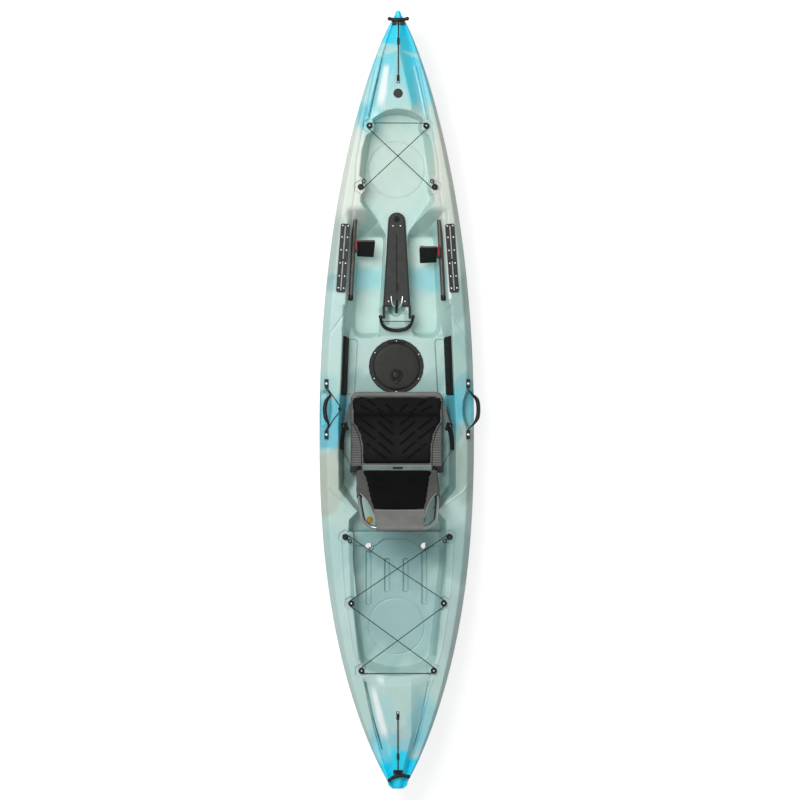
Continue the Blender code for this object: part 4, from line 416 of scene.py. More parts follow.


# The camouflage, with painted highlights and painted shade laid in among its colours: patches of colour, each
# with a centre, two radii, a colour, a soft edge and a strength

PATCHES = [
    # both ends, bright cyan, with a cream band across the port side of the bow
    (0.000, 1.830, .20, .150, "#00e2ff", .35, 1.0),
    (-.050, 1.735, .045, .060, "#3fd2ec", .6, .8),
    (0.030, 1.735, .035, .090, "#10d4f4", .6, .9),
    (-.060, 1.680, .090, .028, "#b4dcda", .5, .85),
    (0.060, 1.640, .080, .120, "#3fd3ea", .6, .9),
    (-.070, 1.600, .080, .065, "#74dbee", .6, .85),
    (-.090, 1.500, .070, .110, "#98dbe2", .6, .7),
    (0.110, 1.520, .070, .110, "#76d8ea", .7, .85),
    (-.130, 1.370, .070, .080, "#93e0e6", .6, .8),
    (0.000, 1.560, .026, .150, "#8fd3d8", .8, .8),
    (0.000, 1.440, .032, .080, "#b2dcdb", .6, .9),
    # gunwales by the bow well: cream
    (-.230, 1.060, .085, .260, "#e0e6db", .5, .95),
    (0.240, 1.130, .080, .270, "#dadcd1", .5, .95),
    (0.270, 0.880, .070, .160, "#ccd6cb", .6, .8),
    # floor of the bow well
    (0.000, 1.130, .150, .230, "#cbddd4", .6, .8),
    # gunwales beside the footwells
    (-.300, 0.720, .070, .170, "#b9c9bf", .6, .85),
    (-.300, 0.560, .080, .045, "#93bdc0", .6, .9),
    (-.310, 0.400, .080, .140, "#bfdcda", .7, .7),
    (0.320, 0.700, .070, .120, "#c3d8cc", .6, .7),
    (0.320, 0.430, .090, .170, "#b2d0ca", .7, .7),
    # light blue bands over the footwell floors
    (-.150, 0.590, .080, .060, "#93d6dc", 1.1, .85),
    (0.150, 0.590, .080, .065, "#93d5dc", 1.1, .85),
    # mid deck, greener towards the seat
    (0.000, 0.060, .270, .090, "#92b6b0", .8, .85),
    # bright band beside the seat, sharp at its aft edge on the port gunwale
    (-.335, -.110, .065, .150, "#68c0d2", .25, 1.0),
    (-.330, 0.060, .060, .070, "#9fcfce", .7, .7),
    (0.320, 0.020, .070, .110, "#6cbcc8", .5, .95),
    (0.350, -.060, .050, .080, "#62b8c6", .5, .8),
    (0.340, 0.280, .050, .080, "#a0cac8", .7, .6),
    # the same band inside the seat well, and painted shade on the seat well's walls behind it
    (-.262, -.070, .040, .105, "#55bdd0", .5, .85),
    (0.262, -.040, .045, .110, "#55b8c9", .5, .85),
    (-.262, -.350, .048, .140, "#708f88", .6, .85),
    (0.262, -.320, .052, .160, "#7a9d98", .6, .85),
    (0.280, -.160, .035, .050, "#5b9fa8", .7, .8),
    # floors of the footwells, pale at their fore ends: painted light that lifts the deep wells' shade
    (-.125, .720, .080, .075, "#def0e8", .7, .9),
    (0.125, .720, .080, .075, "#def0e8", .7, .9),
    (-.140, .430, .080, .080, "#cfe7e0", .8, .7),
    (0.140, .430, .080, .080, "#cfe7e0", .8, .7),
    # cream behind the band
    (-.335, -.400, .080, .165, "#bcc6b9", .35, .95),
    (0.335, -.300, .065, .170, "#9fb1a6", .6, .8),
    # tank well floor, grey teal at its front
    (0.000, -.720, .230, .130, "#86b2b2", .8, .9),
    (0.000, -1.03, .200, .230, "#9cc0c1", .8, .8),
    # pale blue gunwales aft
    (-.310, -.740, .080, .130, "#b2d4d1", .6, .8),
    (-.280, -1.150, .080, .250, "#c4dcd8", .7, .7),
    (0.300, -.740, .080, .140, "#a0c0bb", .6, .8),
    (0.280, -1.100, .080, .220, "#b4cac9", .7, .7),
    # stern deck
    (-.070, -1.540, .060, .110, "#b0dade", .7, .8),
    (0.125, -1.550, .070, .130, "#8fcfd8", .8, .8),
    (0.000, -1.650, .150, .070, "#7fcbda", .7, .7),
    (0.000, -1.880, .22, .190, "#00deff", .3, 1.0),
    (-.075, -1.690, .040, .060, "#8ae6f6", .6, .8),
    (0.030, -1.600, .030, .035, "#c3cfcc", .9, .6),
    # painted shade by the tray, on the starboard gunwale, beside the seat and beside the hood's port gutter; a
    # painted highlight on the hood's port facet and painted light over the shadow on the floor behind the seat
    (-.030, .438, .050, .024, "#5f908c", .8, .8),
    (0.296, .480, .040, .120, "#93b0ac", .8, .75),
    (0.290, .200, .060, .140, "#93b8b2", .9, .6),
    (-.228, -.365, .030, .050, "#55746d", .9, .8),
    (-.166, 1.362, .026, .060, "#6fc2d2", .8, .8),
    (-.110, 1.360, .022, .045, "#bdeef2", .8, .8),
    (0.110, -.600, .140, .030, "#bfe0d9", .9, .8),
]


# Stripes of colour, most of them painted highlights and painted shade: a line of (px, py) places, half widths at
# its ends, colour, soft edge, strength
STRIPES = [
    # cream band across the bow
    ([(368, 55), (380, 53), (394, 49)], .012, .010, "#bcdbd8", .9, .9),
    ([(403.5, 51.5), (419, 57)], .007, .010, "#b9dfdd", .9, .7),
    # hood facets: a painted highlight down the port facet, deep cyan on the starboard one, painted shade in both
    # gutters and a thin painted highlight on the starboard gutter's edge
    ([(376.5, 78), (366, 114)], .005, .009, "#43bdd9", .9, .8),
    ([(386.0, 62), (383.4, 78), (378.0, 112)], .012, .019, "#fbffff", 1.2, .95),
    ([(380.5, 58), (377, 75), (367.7, 116)], .003, .005, "#2f7c86", .8, .8),
    ([(403.5, 50), (408, 75), (413, 112)], .014, .022, "#46d2e2", 1.0, .8),
    ([(412.5, 66), (425, 114)], .003, .005, "#d9fafd", .9, .75),
    ([(415.3, 66), (426.5, 118)], .003, .004, "#3796a8", .8, .7),
    # the same at the stern: a painted highlight down the port facet, painted shade in both gutters and a thin
    # painted highlight beside the starboard one
    ([(371.0, 684), (377.5, 712), (385.5, 744)], .010, .018, "#fbffff", 1.2, .95),
    ([(364.5, 683), (372.6, 720), (381, 750)], .0040, .0035, "#2c6268", .8, .8),
    ([(427.5, 683), (420, 720), (413, 748)], .003, .003, "#4c8a90", .8, .6),
    ([(424, 735), (417, 757)], .003, .002, "#86e4f4", .8, .7),
    # painted highlight on the ledges between the accessory rails and the brace rails, where their edges catch the
    # light
    ([(353.2, 212), (348.4, 297)], .0085, .0085, "#fdfffd", .7, 1.0),
    ([(443.0, 212), (449.6, 297)], .0070, .0070, "#f2f8f5", .7, .9),
    # painted shade on the tank well's steep outer walls, along its port rim and down its starboard side
    ([(349.5, 536), (351.8, 600), (362, 662)], .0105, .0085, "#5d8f8c", .8, .6),
    ([(447.5, 536), (441.5, 600), (434.5, 655)], .0120, .0095, "#6a9a97", .9, .45),
]


def wobble(x, y):
    """Two slow waves that keep a patch's edge from being an ellipse."""
    return .16 * np.sin(37 * x + 11 * y + 1.3) * np.sin(23 * y - 9 * x) + .08 * np.sin(71 * x - 53 * y)


def camouflage_and_painted_light(x, y):
    """Linear colour of each point: the base, then every patch and every stripe laid over it with its soft
    edge. The softest stripes also fade over the first and the last fifth of their length."""
    base = np.array(colour("#bedad4")[:3])
    out = np.broadcast_to(base, (*x.shape, 3)).copy()
    shade = wobble(x, y)
    for cx, cy, rx, ry, code, soft, amount in PATCHES:
        distance = np.hypot((x - cx) / rx, (y - cy) / ry) + shade
        weight = amount * ease(share(distance, 1 + soft / 2, 1 - soft / 2))
        out += weight[..., None] * (np.array(colour(code)[:3]) - out)
    for line, first, last, code, soft, amount in STRIPES:
        places = [at(*spot) for spot in line]
        weight = np.zeros(x.shape)
        for k, (a, b) in enumerate(zip(places, places[1:])):
            away, along = off_line(x, y, a, b)
            run = (k + along) / (len(places) - 1)
            wide = mix(first, last, run)
            ends = ease(share(run, 0, .22)) * ease(share(run, 1, .78)) if soft > .95 else 1
            cover = ease(share(away / wide + .6 * shade, 1 + soft / 2, 1 - soft / 2))
            weight = np.maximum(weight, ends * cover)
        out += amount * weight[..., None] * (np.array(colour(code)[:3]) - out)
    return out


# Hull surface


def hull_rings():
    """Closed rings of the hull, one for each place along it: deck columns from port to starboard, then
    the side and the bottom back to port. Deck heights come from deck(); the bottom is a superellipse."""
    y = np.concatenate([np.linspace(-HALF_LENGTH, -1.42, 90)[:-1], np.linspace(-1.42, 1.44, 880)[:-1],
                        np.linspace(1.44, HALF_LENGTH, 90)])
    half = half_beam(y)[:, None]
    top, low = sheer(y)[:, None], keel(y)[:, None]
    widest = mix(low, top, .62)
    # gunwale: over the shoulder's width the slope grows to 58 degrees in the first third and keeps it
    shoulder = np.minimum(.105 * half, (top - widest) / 1.5)
    flat_part = np.linspace(-1, 1, 251)[None, :] * (half - shoulder)
    turn = np.linspace(0, 1, 14)[None, 1:]
    arc_x = half - shoulder * (1 - turn)
    deck_x = np.concatenate([-arc_x[:, ::-1], flat_part, arc_x], axis=1)
    deck_y = np.broadcast_to(y[:, None], deck_x.shape)
    fall = shoulder * np.where(turn < .36, 2.22 * turn ** 2, .288 + 1.6 * (turn - .36))
    drop = np.concatenate([fall[:, ::-1], np.zeros(flat_part.shape) * half, fall], axis=1)
    deck_z = deck(deck_x, deck_y, drop)
    edge = top - fall[:, -1:]
    deck_z[:, 0] = deck_z[:, -1] = edge[:, 0]
    # side and bottom, starboard to port
    power = mix(1.8, 3.0, half / HALF_BEAM)
    flat = np.minimum(.05, .3 * half)
    swing = np.radians(np.linspace(90, 0, 34))[None, :]
    bilge_x = flat + (half - flat) * np.sin(swing) ** (2 / power)
    bilge_z = widest - (widest - low) * np.cos(swing) ** (2 / power)
    wall = np.linspace(0, 1, 5)[None, 1:-1]
    wall_x = np.broadcast_to(half, (len(y), 3))
    wall_z = mix(edge, widest, wall)
    middle = np.linspace(1, -1, 9)[None, 1:-1] * flat
    under_x = np.concatenate([wall_x, bilge_x, middle, -bilge_x[:, ::-1], -wall_x], axis=1)
    under_z = np.concatenate([wall_z, bilge_z, np.broadcast_to(low, middle.shape), bilge_z[:, ::-1],
                              wall_z[:, ::-1]], axis=1)
    under_y = np.broadcast_to(y[:, None], under_x.shape)
    x = np.concatenate([deck_x, under_x], axis=1)
    z = np.concatenate([deck_z, under_z], axis=1)
    points = np.stack([x, np.concatenate([deck_y, under_y], axis=1), z], axis=2)
    return points, deck_x.shape[1]


def normals_of(points):
    """Unit normals of a grid of closed rings, from central differences along and round it."""
    along = np.gradient(points, axis=0)
    around = np.roll(points, -1, axis=1) - np.roll(points, 1, axis=1)
    out = np.cross(around, along)
    return out / np.maximum(np.linalg.norm(out, axis=2, keepdims=True), 1e-12)


def quads(rows, columns):
    """Faces of a grid of points stored row by row."""
    first = (np.arange(rows - 1)[:, None] * columns + np.arange(columns - 1)[None, :]).ravel()
    return np.stack([first, first + 1, first + columns + 1, first + columns], axis=1)


HULL = "hull_and_fittings"


def make_mesh(name, points, faces, normals=None, tint=None):
    """A smooth mesh object from an array of points and arrays of faces with equally many corners each."""
    groups = [np.asarray(group, np.int32) for group in faces]
    points = np.asarray(points, np.float32)
    used = np.unique(np.concatenate([group.ravel() for group in groups]))
    if len(used) < len(points):
        renumber = np.full(len(points), -1, np.int32)
        renumber[used] = np.arange(len(used), dtype=np.int32)
        points, groups = points[used], [renumber[group] for group in groups]
        normals = None if normals is None else np.asarray(normals)[used]
        tint = None if tint is None else np.asarray(tint)[used]
    corners = np.concatenate([np.full(len(group), group.shape[1], np.int32) for group in groups])
    starts = np.concatenate([[0], np.cumsum(corners)[:-1]]).astype(np.int32)
    mesh = bpy.data.meshes.new(name)
    mesh.vertices.add(len(points))
    mesh.vertices.foreach_set("co", points.ravel())
    mesh.loops.add(int(corners.sum()))
    mesh.loops.foreach_set("vertex_index", np.concatenate([group.ravel() for group in groups]))
    mesh.polygons.add(len(corners))
    mesh.polygons.foreach_set("loop_start", starts)
    mesh.update(calc_edges=True)
    mesh.validate()
    mesh.shade_smooth()
    if tint is not None:
        layer = mesh.color_attributes.new("tint", "FLOAT_COLOR", "POINT")
        full = np.ones((len(points), 4), np.float32)
        full[:, :3] = tint
        layer.data.foreach_set("color", full.ravel())
    if normals is not None:
        mesh.normals_split_custom_set_from_vertices(np.asarray(normals, np.float32))
    obj = bpy.data.objects.new(name, mesh)
    bpy.context.scene.collection.objects.link(obj)
    return obj


def turn_outward(mesh, merge=False):
    """Turns a closed mesh's faces outward, its doubles merged first where asked."""
    built = bmesh.new()
    built.from_mesh(mesh)
    if merge:
        bmesh.ops.remove_doubles(built, verts=built.verts, dist=1e-6)
    bmesh.ops.recalc_face_normals(built, faces=built.faces)
    built.to_mesh(mesh)
    built.free()


def moulded_polyethylene():
    """Rotomoulded polyethylene, coloured in the melt: colours run into each other, and the satin skin ripples
    slightly, so that its highlights are wide and uneven."""
    material, tree, surface, place = shader("moulded_polyethylene")
    # the tint attribute holds the camouflage with its painted highlights and painted shade
    tint = add(tree, "ShaderNodeAttribute", attribute_name="tint").outputs["Color"]
    # pigment streaks of about 110 mm
    streak = add(tree, "ShaderNodeTexNoise", {"Vector": place}, Scale=9.0, Detail=5.0, Roughness=.62,
                 Distortion=.6)
    streaked = add(tree, "ShaderNodeMix", {"Factor": streak.outputs["Fac"], 6: tint}, {7: colour("#e6efee")},
                   data_type="RGBA", blend_type="MULTIPLY")
    # speckle of a few millimetres, drawn at 5 mm so that it shows
    speckle = add(tree, "ShaderNodeTexNoise", {"Vector": place}, Scale=200.0, Detail=2.0)
    fleck = add(tree, "ShaderNodeMapRange", {"Value": speckle.outputs["Fac"]}, {1: .35, 2: .65, 3: .96, 4: 1.03})
    shaded = add(tree, "ShaderNodeMix", {6: streaked.outputs[2], 7: fleck.outputs["Result"]}, {0: 1.0},
                 data_type="RGBA", blend_type="MULTIPLY")
    tree.links.new(shaded.outputs[2], surface.inputs["Base Color"])
    surface.inputs["IOR"].default_value = 1.51
    rough = add(tree, "ShaderNodeMapRange", {"Value": streak.outputs["Fac"]}, {3: .30, 4: .42})
    tree.links.new(rough.outputs["Result"], surface.inputs["Roughness"])
    # ripple of about 40 mm
    ripple = add(tree, "ShaderNodeTexNoise", {"Vector": place}, Scale=26.0, Detail=3.0)
    bump(tree, surface, ripple.outputs["Fac"], .25, .0012)
    return material


def dress_hull(obj, finish):
    """Gives a part of the hull's skin its finish, body, node and slot."""
    obj.data.materials.append(finish)
    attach(obj, HULL)
    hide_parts("hull")


def end_cap(ring, way):
    """A blunt end: the end ring drawn in to its middle by a cosine and pushed out 1 mm by a sine."""
    middle = np.array([0, ring[0, 1], (ring[:, 2].min() + ring[:, 2].max()) / 2])
    angle = np.linspace(0, math.pi / 2, 6)[:-1]
    rings = [middle + (ring - middle) * math.cos(a) + [0, way * .001 * math.sin(a), 0] for a in angle]
    points = np.concatenate([np.vstack(rings), [middle + [0, way * .001, 0]]])
    count = len(ring)
    start = np.arange(count)
    ahead = (start + 1) % count
    faces = [np.stack([k * count + start, k * count + ahead, (k + 1) * count + ahead, (k + 1) * count + start],
                      axis=1) for k in range(len(angle) - 1)]
    last = (len(angle) - 1) * count
    tip = np.full(count, len(points) - 1)
    faces = np.vstack(faces + [np.stack([last + start, last + ahead, tip, tip], axis=1)])
    if way < 0:
        faces = faces[:, ::-1]
    # the last row is of triangles, so all faces are split in two
    faces = np.vstack([faces[:, :3], faces[:, [0, 2, 3]]])
    whole = (faces[:, 0] != faces[:, 1]) & (faces[:, 1] != faces[:, 2]) & (faces[:, 2] != faces[:, 0])
    return points, faces[whole]


def make_hull():
    """The hull as eight pieces: four of deck and two of side and bottom, which share one field of normals, and a
    cap at each end. It is open under the hatch and at the scuppers."""
    points, deck_columns = hull_rings()
    rows, columns = points.shape[:2]
    normals = normals_of(points)
    if normals[rows // 2, deck_columns // 2, 2] < 0:
        normals = -normals
    # camouflage colours with painted highlights and painted shade laid in
    tint = camouflage_and_painted_light(points[..., 0], points[..., 1])
    finish = moulded_polyethylene()
    under = np.concatenate([np.arange(deck_columns - 1, columns), [0]])
    for kind, count, picks in (("deck", 4, np.arange(deck_columns)), ("bottom", 2, under)):
        cuts = np.linspace(0, rows - 1, count + 1).astype(int)
        for i, (aft, fore) in enumerate(zip(cuts[:-1], cuts[1:] + 1)):
            part = points[aft:fore][:, picks].reshape(-1, 3)
            faces = quads(fore - aft, len(picks))
            middle = part[faces].mean(axis=1)
            keep = np.ones(len(faces), bool)
            if kind == "deck":
                keep &= np.hypot(middle[:, 0] - HATCH[0], middle[:, 1] - HATCH[1]) > HATCH_HOLE
            for sx, sy, radius in SCUPPERS:
                keep &= np.hypot(middle[:, 0] - sx, middle[:, 1] - sy) > radius + .001
            dress_hull(make_mesh(f"hull_{kind}_{i + 1}", part, [faces[keep]],
                                 normals[aft:fore][:, picks].reshape(-1, 3),
                                 tint[aft:fore][:, picks].reshape(-1, 3)), finish)
    for name, ring, way in (("hull_bow_end", points[-1], 1), ("hull_stern_end", points[0], -1)):
        part, faces = end_cap(ring, way)
        dress_hull(make_mesh(name, part, [faces], None, camouflage_and_painted_light(part[:, 0], part[:, 1])), finish)
    return finish


HULL_FINISH = make_hull()


# Finishes of the fittings


def moulded_nylon(name, code, pale, rough=.48, grain=900.0, shine=.25):
    """Injection-moulded plastic with a spark-eroded grain, drawn at about 1 mm where the real one is 0.2 mm so
    that it shows: satin, no sharp reflection."""
    material, tree, surface, place = shader(name)
    # clouding of about 30 mm
    cloud = add(tree, "ShaderNodeTexNoise", {"Vector": place}, Scale=30.0, Detail=4.0)
    tree.links.new(ramp(tree, cloud.outputs["Fac"], (.3, code), (.75, pale)), surface.inputs["Base Color"])
    surface.inputs["Roughness"].default_value = rough
    surface.inputs["Specular IOR Level"].default_value = shine
    fine = add(tree, "ShaderNodeTexNoise", {"Vector": place}, Scale=grain, Detail=2.0)
    bump(tree, surface, fine.outputs["Fac"], .35, .0003)
    return material


def brushed_metal(name, code, rough=.3, metallic=1.0):
    """Drawn or brushed metal: scratches 17 mm long and 1 mm apart, coarser than the real 0.1 mm so that they
    show, draw its highlight out across them."""
    material, tree, surface, place = shader(name)
    stretch = add(tree, "ShaderNodeMapping", {"Vector": place}, Scale=(60, 60, 900))
    scratch = add(tree, "ShaderNodeTexNoise", {"Vector": stretch.outputs["Vector"]}, Scale=1.0, Detail=3.0)
    span = add(tree, "ShaderNodeMapRange", {"Value": scratch.outputs["Fac"]}, {3: rough - .08, 4: rough + .1})
    tree.links.new(span.outputs["Result"], surface.inputs["Roughness"])
    surface.inputs["Base Color"].default_value = colour(code)
    surface.inputs["Metallic"].default_value = metallic
    bump(tree, surface, scratch.outputs["Fac"], .15, .0002)
    return material


def woven_fabric(name, dark, light, pitch=.004, rough=.85, shine=.12, tinted=False):
    """Plain woven polyester: warp and weft of the given pitch, coarser than the real 1 mm so that it shows."""
    material, tree, surface, place = shader(name)
    wave = add(tree, "ShaderNodeTexWave", {"Vector": place}, Scale=.3 / pitch, bands_direction="X")
    weft = add(tree, "ShaderNodeTexWave", {"Vector": place}, Scale=.3 / pitch, bands_direction="Y")
    both = add(tree, "ShaderNodeMath", {0: wave.outputs["Fac"], 1: weft.outputs["Fac"]}, operation="MULTIPLY")
    worn = add(tree, "ShaderNodeTexNoise", {"Vector": place}, Scale=14.0, Detail=5.0)
    shade = add(tree, "ShaderNodeMath", {0: both.outputs[0], 1: worn.outputs["Fac"]}, operation="ADD")
    cloth = ramp(tree, shade.outputs[0], (.35, dark), (1.2, light))
    # the tint attribute multiplies painted shade (on the seat pad also a painted sheen) into the cloth
    if tinted:
        tint = add(tree, "ShaderNodeVertexColor", layer_name="tint").outputs["Color"]
        sunk = add(tree, "ShaderNodeMix", {6: cloth, 7: tint}, {0: 1.0}, data_type="RGBA", blend_type="MULTIPLY")
        cloth = sunk.outputs[2]
    tree.links.new(cloth, surface.inputs["Base Color"])
    surface.inputs["Roughness"].default_value = rough
    surface.inputs["Specular IOR Level"].default_value = shine
    bump(tree, surface, both.outputs[0], .5, .0006)
    return material


# Black injection-moulded nylon: near black, wide soft highlights
BLACK = moulded_nylon("black_moulded_nylon", "#080909", "#121313", .42)
# Polypropylene lid, spark-eroded: warm dark grey that stays matt to its edge
LID = moulded_nylon("spark_eroded_polypropylene", "#191916", "#23231e", .5, 500.0)
# Grained ABS cover plate: greyer than the nylon round it, no clear highlight
PLATE = moulded_nylon("grained_abs_plate", "#2a2c2a", "#363835", .55, 700.0)
# Anodised aluminium, brown and black, under its dyed oxide: a long narrow sheen along each bar
RAIL = moulded_nylon("brown_anodised_aluminium", "#37322f", "#4a4440", .36, 1200.0, .5)
TRACK = moulded_nylon("black_anodised_aluminium", "#191b1b", "#242626", .4, 1200.0, .3)
# Acetal and rubber in full colours, satin, with no metal in their shine
RED = moulded_nylon("red_moulded_acetal", "#8c1418", "#a91c20", .45, 900.0)
YELLOW = moulded_nylon("yellow_moulded_rubber", "#b3901c", "#d2a526", .5, 600.0)
# Closed-cell polyethylene foam: chalky white
FOAM = moulded_nylon("closed_cell_foam", "#d8d8d2", "#e6e6e1", .8, 300.0)
# Soft EVA rubber: the dullest black, so that its ribs show by shadow alone
RUBBER = moulded_nylon("soft_eva_rubber", "#0a0b0b", "#141515", .75, 500.0, .2)
# Stainless steel, tumbled: small bright points on every screw
STEEL = brushed_metal("tumbled_stainless_steel", "#e4e6e8", .28)
# Pale and grey nylon strips: light lines in the dark tracks and on the pedals
STRIP = moulded_nylon("pale_moulded_nylon", "#a3a8a3", "#bcc0bb", .5, 900.0)
STRIP_DARK = moulded_nylon("grey_moulded_nylon", "#4c4d4b", "#60615f", .45, 900.0)
# Polished aluminium tube: a sharp light streak between dark flanks
TUBE = brushed_metal("polished_aluminium_tube", "#7c8083", .18)
# Braided polyester: dark cord with a grey weave
BRAID = woven_fabric("braided_polyester_cord", "#1d2222", "#454c4b", .003)
# Spacer mesh of the pads: black, open; its tint paints shade into the sewn channels and the fold, with a painted
# sheen across the seat's middle
MESH_CLOTH = woven_fabric("black_knitted_spacer_mesh", "#0f0f10", "#1b1b1c", .005, tinted=True)
BACK_MESH = woven_fabric("black_knitted_back_mesh", "#0b0b0c", "#151516", .005, .9, .06, True)
# Coated polyester, grey: flat and dry; its tint paints shade into the hollows of the gussets' ribs and where it
# turns round the tubes, so the bands that face the light stand out lighter
GREY_CLOTH = woven_fabric("grey_coated_polyester", "#616261", "#7b7c7a", .005, tinted=True)
SLEEVE_CLOTH = woven_fabric("grey_sleeve_polyester", "#4c4d4b", "#656663", .005)
BAND_CLOTH = woven_fabric("light_grey_polyester", "#6b6c6a", "#858683", .005)
PALE_CLOTH = woven_fabric("pale_bound_polyester", "#9b9c99", "#b9bab6", .004)
# Woven webbing: the same weave, closer, with its own colours
STRAP_CLOTH = woven_fabric("grey_green_webbing", "#5f716c", "#83958f", .004)
WEBBING = woven_fabric("grey_webbing", "#5a5b5a", "#767774", .004)
BLACK_WEBBING = woven_fabric("black_webbing", "#0e0f0f", "#1d1e1e", .004)
TINTED = {MESH_CLOTH, BACK_MESH, GREY_CLOTH}

FINISHES = {
    "black_moulding": BLACK, "white_foam": FOAM, "yellow_plug": YELLOW, "grey_plate": PLATE,
    "black_rubber": RUBBER, "stainless_pin": STEEL, "dark_track": RAIL, "grey_track": TRACK,
    "red_lock": RED, "grey_foam": RUBBER, "black_cord": BRAID, "seat_tubing": TUBE, "black_mesh": MESH_CLOTH,
    "grey_sleeve": GREY_CLOTH, "grey_webbing": WEBBING,
}
for entry in frame["record"]["subparts"]:
    finish = FINISHES.get(entry.get("material_slot"))
    if finish:
        for held in NODES[entry["node"]].material_slots:
            held.material = finish
for name in ("hatch_rim", "hatch_hinge_pin"):
    for held in NODES[name].material_slots:
        held.material = LID

# Ways of making a shape. A shape is its points and a list of face arrays


def curve(points, each=8):
    """Catmull-Rom curve: each stretch is the cubic whose end slopes are half the step between its neighbours."""
    p = np.asarray(points, float)
    ends = np.vstack([2 * p[0] - p[1], p, 2 * p[-1] - p[-2]])
    t = np.linspace(0, 1, each, endpoint=False)[:, None]
    parts = []
    for a, b, c, d in zip(ends, ends[1:], ends[2:], ends[3:]):
        parts.append(.5 * (2 * b + (c - a) * t + (2 * a - 5 * b + 4 * c - d) * t ** 2
                           + (3 * b - a - 3 * c + d) * t ** 3))
    return np.vstack(parts + [p[-1:]])


def circle(count=14):
    """Points of a unit circle."""
    angle = np.arange(count) * 2 * math.pi / count
    return np.stack([np.cos(angle), np.sin(angle)], axis=1)


def unit(vectors):
    """Vectors divided by their lengths."""
    return vectors / np.maximum(np.linalg.norm(vectors, axis=-1, keepdims=True), 1e-12)


def swept(path, section, scale=1.0, up=(0, 0, 1), dome=1.0):
    """A closed section carried along a path: point = centre + scale * (section x * side + section y * over).
    Each end closes in a dome of four rings, dome times as long as the section is wide; dome 0 is flat."""
    path = np.asarray(path, float)
    section = np.asarray(section, float)
    scale = np.broadcast_to(np.asarray(scale, float).reshape(-1, 1), (len(path), 1))
    forward = unit(np.gradient(path, axis=0))
    reach = np.abs(section).max() * dome
    turn = np.radians([88, 66, 44, 22])[:, None]
    head = path[0] - forward[0] * reach * scale[0] * np.sin(turn)
    tail = path[-1] + forward[-1] * reach * scale[-1] * np.sin(turn[::-1])
    centre = np.vstack([head, path, tail])
    size = np.vstack([scale[0] * np.cos(turn), scale, scale[-1] * np.cos(turn[::-1])])
    forward = np.vstack([np.repeat(forward[:1], 4, 0), forward, np.repeat(forward[-1:], 4, 0)])
    side_way = unit(np.cross(forward, np.asarray(up, float)))
    over = np.cross(side_way, forward)
    rings = (centre[:, None] + size[:, :, None] * (section[None, :, :1] * side_way[:, None]
                                                   + section[None, :, 1:] * over[:, None]))
    rows, columns = rings.shape[:2]
    points = np.vstack([rings.reshape(-1, 3), rings[0].mean(0, keepdims=True), rings[-1].mean(0, keepdims=True)])
    here = np.arange(columns)
    ahead = (here + 1) % columns
    start = (np.arange(rows - 1) * columns)[:, None]
    wall = np.stack([start + here, start + columns + here, start + columns + ahead, start + ahead], axis=2)
    first = np.stack([here, ahead, np.full(columns, rows * columns)], axis=1)
    last = (rows - 1) * columns
    final = np.stack([last + ahead, last + here, np.full(columns, rows * columns + 1)], axis=1)
    return points, [wall.reshape(-1, 4), np.vstack([first, final])]


def tube(path, radius, count=14):
    """A round tube along a path, its radius one number or one for each point."""
    return swept(path, circle(count), radius)


def revolved(profile, centre, count=48):
    """A profile of (radius, height) pairs turned about a vertical axis; an end on the axis closes in a fan."""
    profile = np.asarray(profile, float)
    angle = np.arange(count) * 2 * math.pi / count
    ring = np.stack([np.cos(angle), np.sin(angle), np.zeros(count)], axis=1)
    rings = np.asarray(centre, float) + profile[:, :1, None] * ring + profile[:, 1:, None] * np.array([0, 0, 1.0])
    return rings.reshape(-1, 3), [round_quads(len(profile), count, False)]


def round_quads(rows, columns, closed):
    """Faces between rings of points, and from the last ring to the first where closed."""
    here = np.arange(columns)
    ahead = (here + 1) % columns
    start = np.arange(rows if closed else rows - 1)[:, None]
    low, high = start * columns, ((start + 1) % rows) * columns
    return np.stack([low + here, high + here, high + ahead, low + ahead], axis=2).reshape(-1, 4)


def ringed(profile, centre, count=32):
    """A closed profile of (radius, height) pairs turned about a vertical axis, as a ring."""
    points, _ = revolved(profile, centre, count)
    return points, [round_quads(len(profile), count, True)]


def slab(over, under):
    """A closed sheet between two grids of points, with a strip of faces round its four sides."""
    rows, columns = over.shape[:2]
    count = rows * columns
    top = quads(rows, columns)
    grid = np.arange(count).reshape(rows, columns)
    edge = np.concatenate([grid[0, :-1], grid[:-1, -1], grid[-1, :0:-1], grid[:0:-1, 0]])
    ahead = np.roll(edge, -1)
    strip = np.stack([edge, ahead, ahead + count, edge + count], axis=1)
    faces = np.vstack([top, top[:, ::-1] + count, strip])
    return np.vstack([over.reshape(-1, 3), under.reshape(-1, 3)]), [faces]


def walled(rings):
    """A shape from equal rings of points in order, its first and its last ring closed flat."""
    rows, count = rings.shape[:2]
    ends = np.stack([np.arange(count), np.arange(count) + (rows - 1) * count])
    return rings.reshape(-1, 3), [round_quads(rows, count, False), ends]


def plate(outline, layers):
    """A plate from an outline and (inset, height) layers from bottom to top; each layer is the outline moved
    inwards along the mean of its two sides' normals."""
    outline = np.asarray(outline, float)
    ahead = unit(np.roll(outline, -1, 0) - outline)
    back = np.roll(ahead, 1, 0)
    inward = np.stack([-(ahead + back)[:, 1], (ahead + back)[:, 0]], axis=1)
    lean = (inward * np.stack([-ahead[:, 1], ahead[:, 0]], axis=1)).sum(1, keepdims=True)
    inward = inward / np.maximum(lean, .3)
    area = (outline[:, 0] * np.roll(outline[:, 1], -1) - np.roll(outline[:, 0], -1) * outline[:, 1]).sum()
    inward = inward * math.copysign(1, area)
    count = len(outline)
    return walled(np.stack([np.column_stack([outline + inward * inset, np.full(count, height)])
                            for inset, height in layers]))


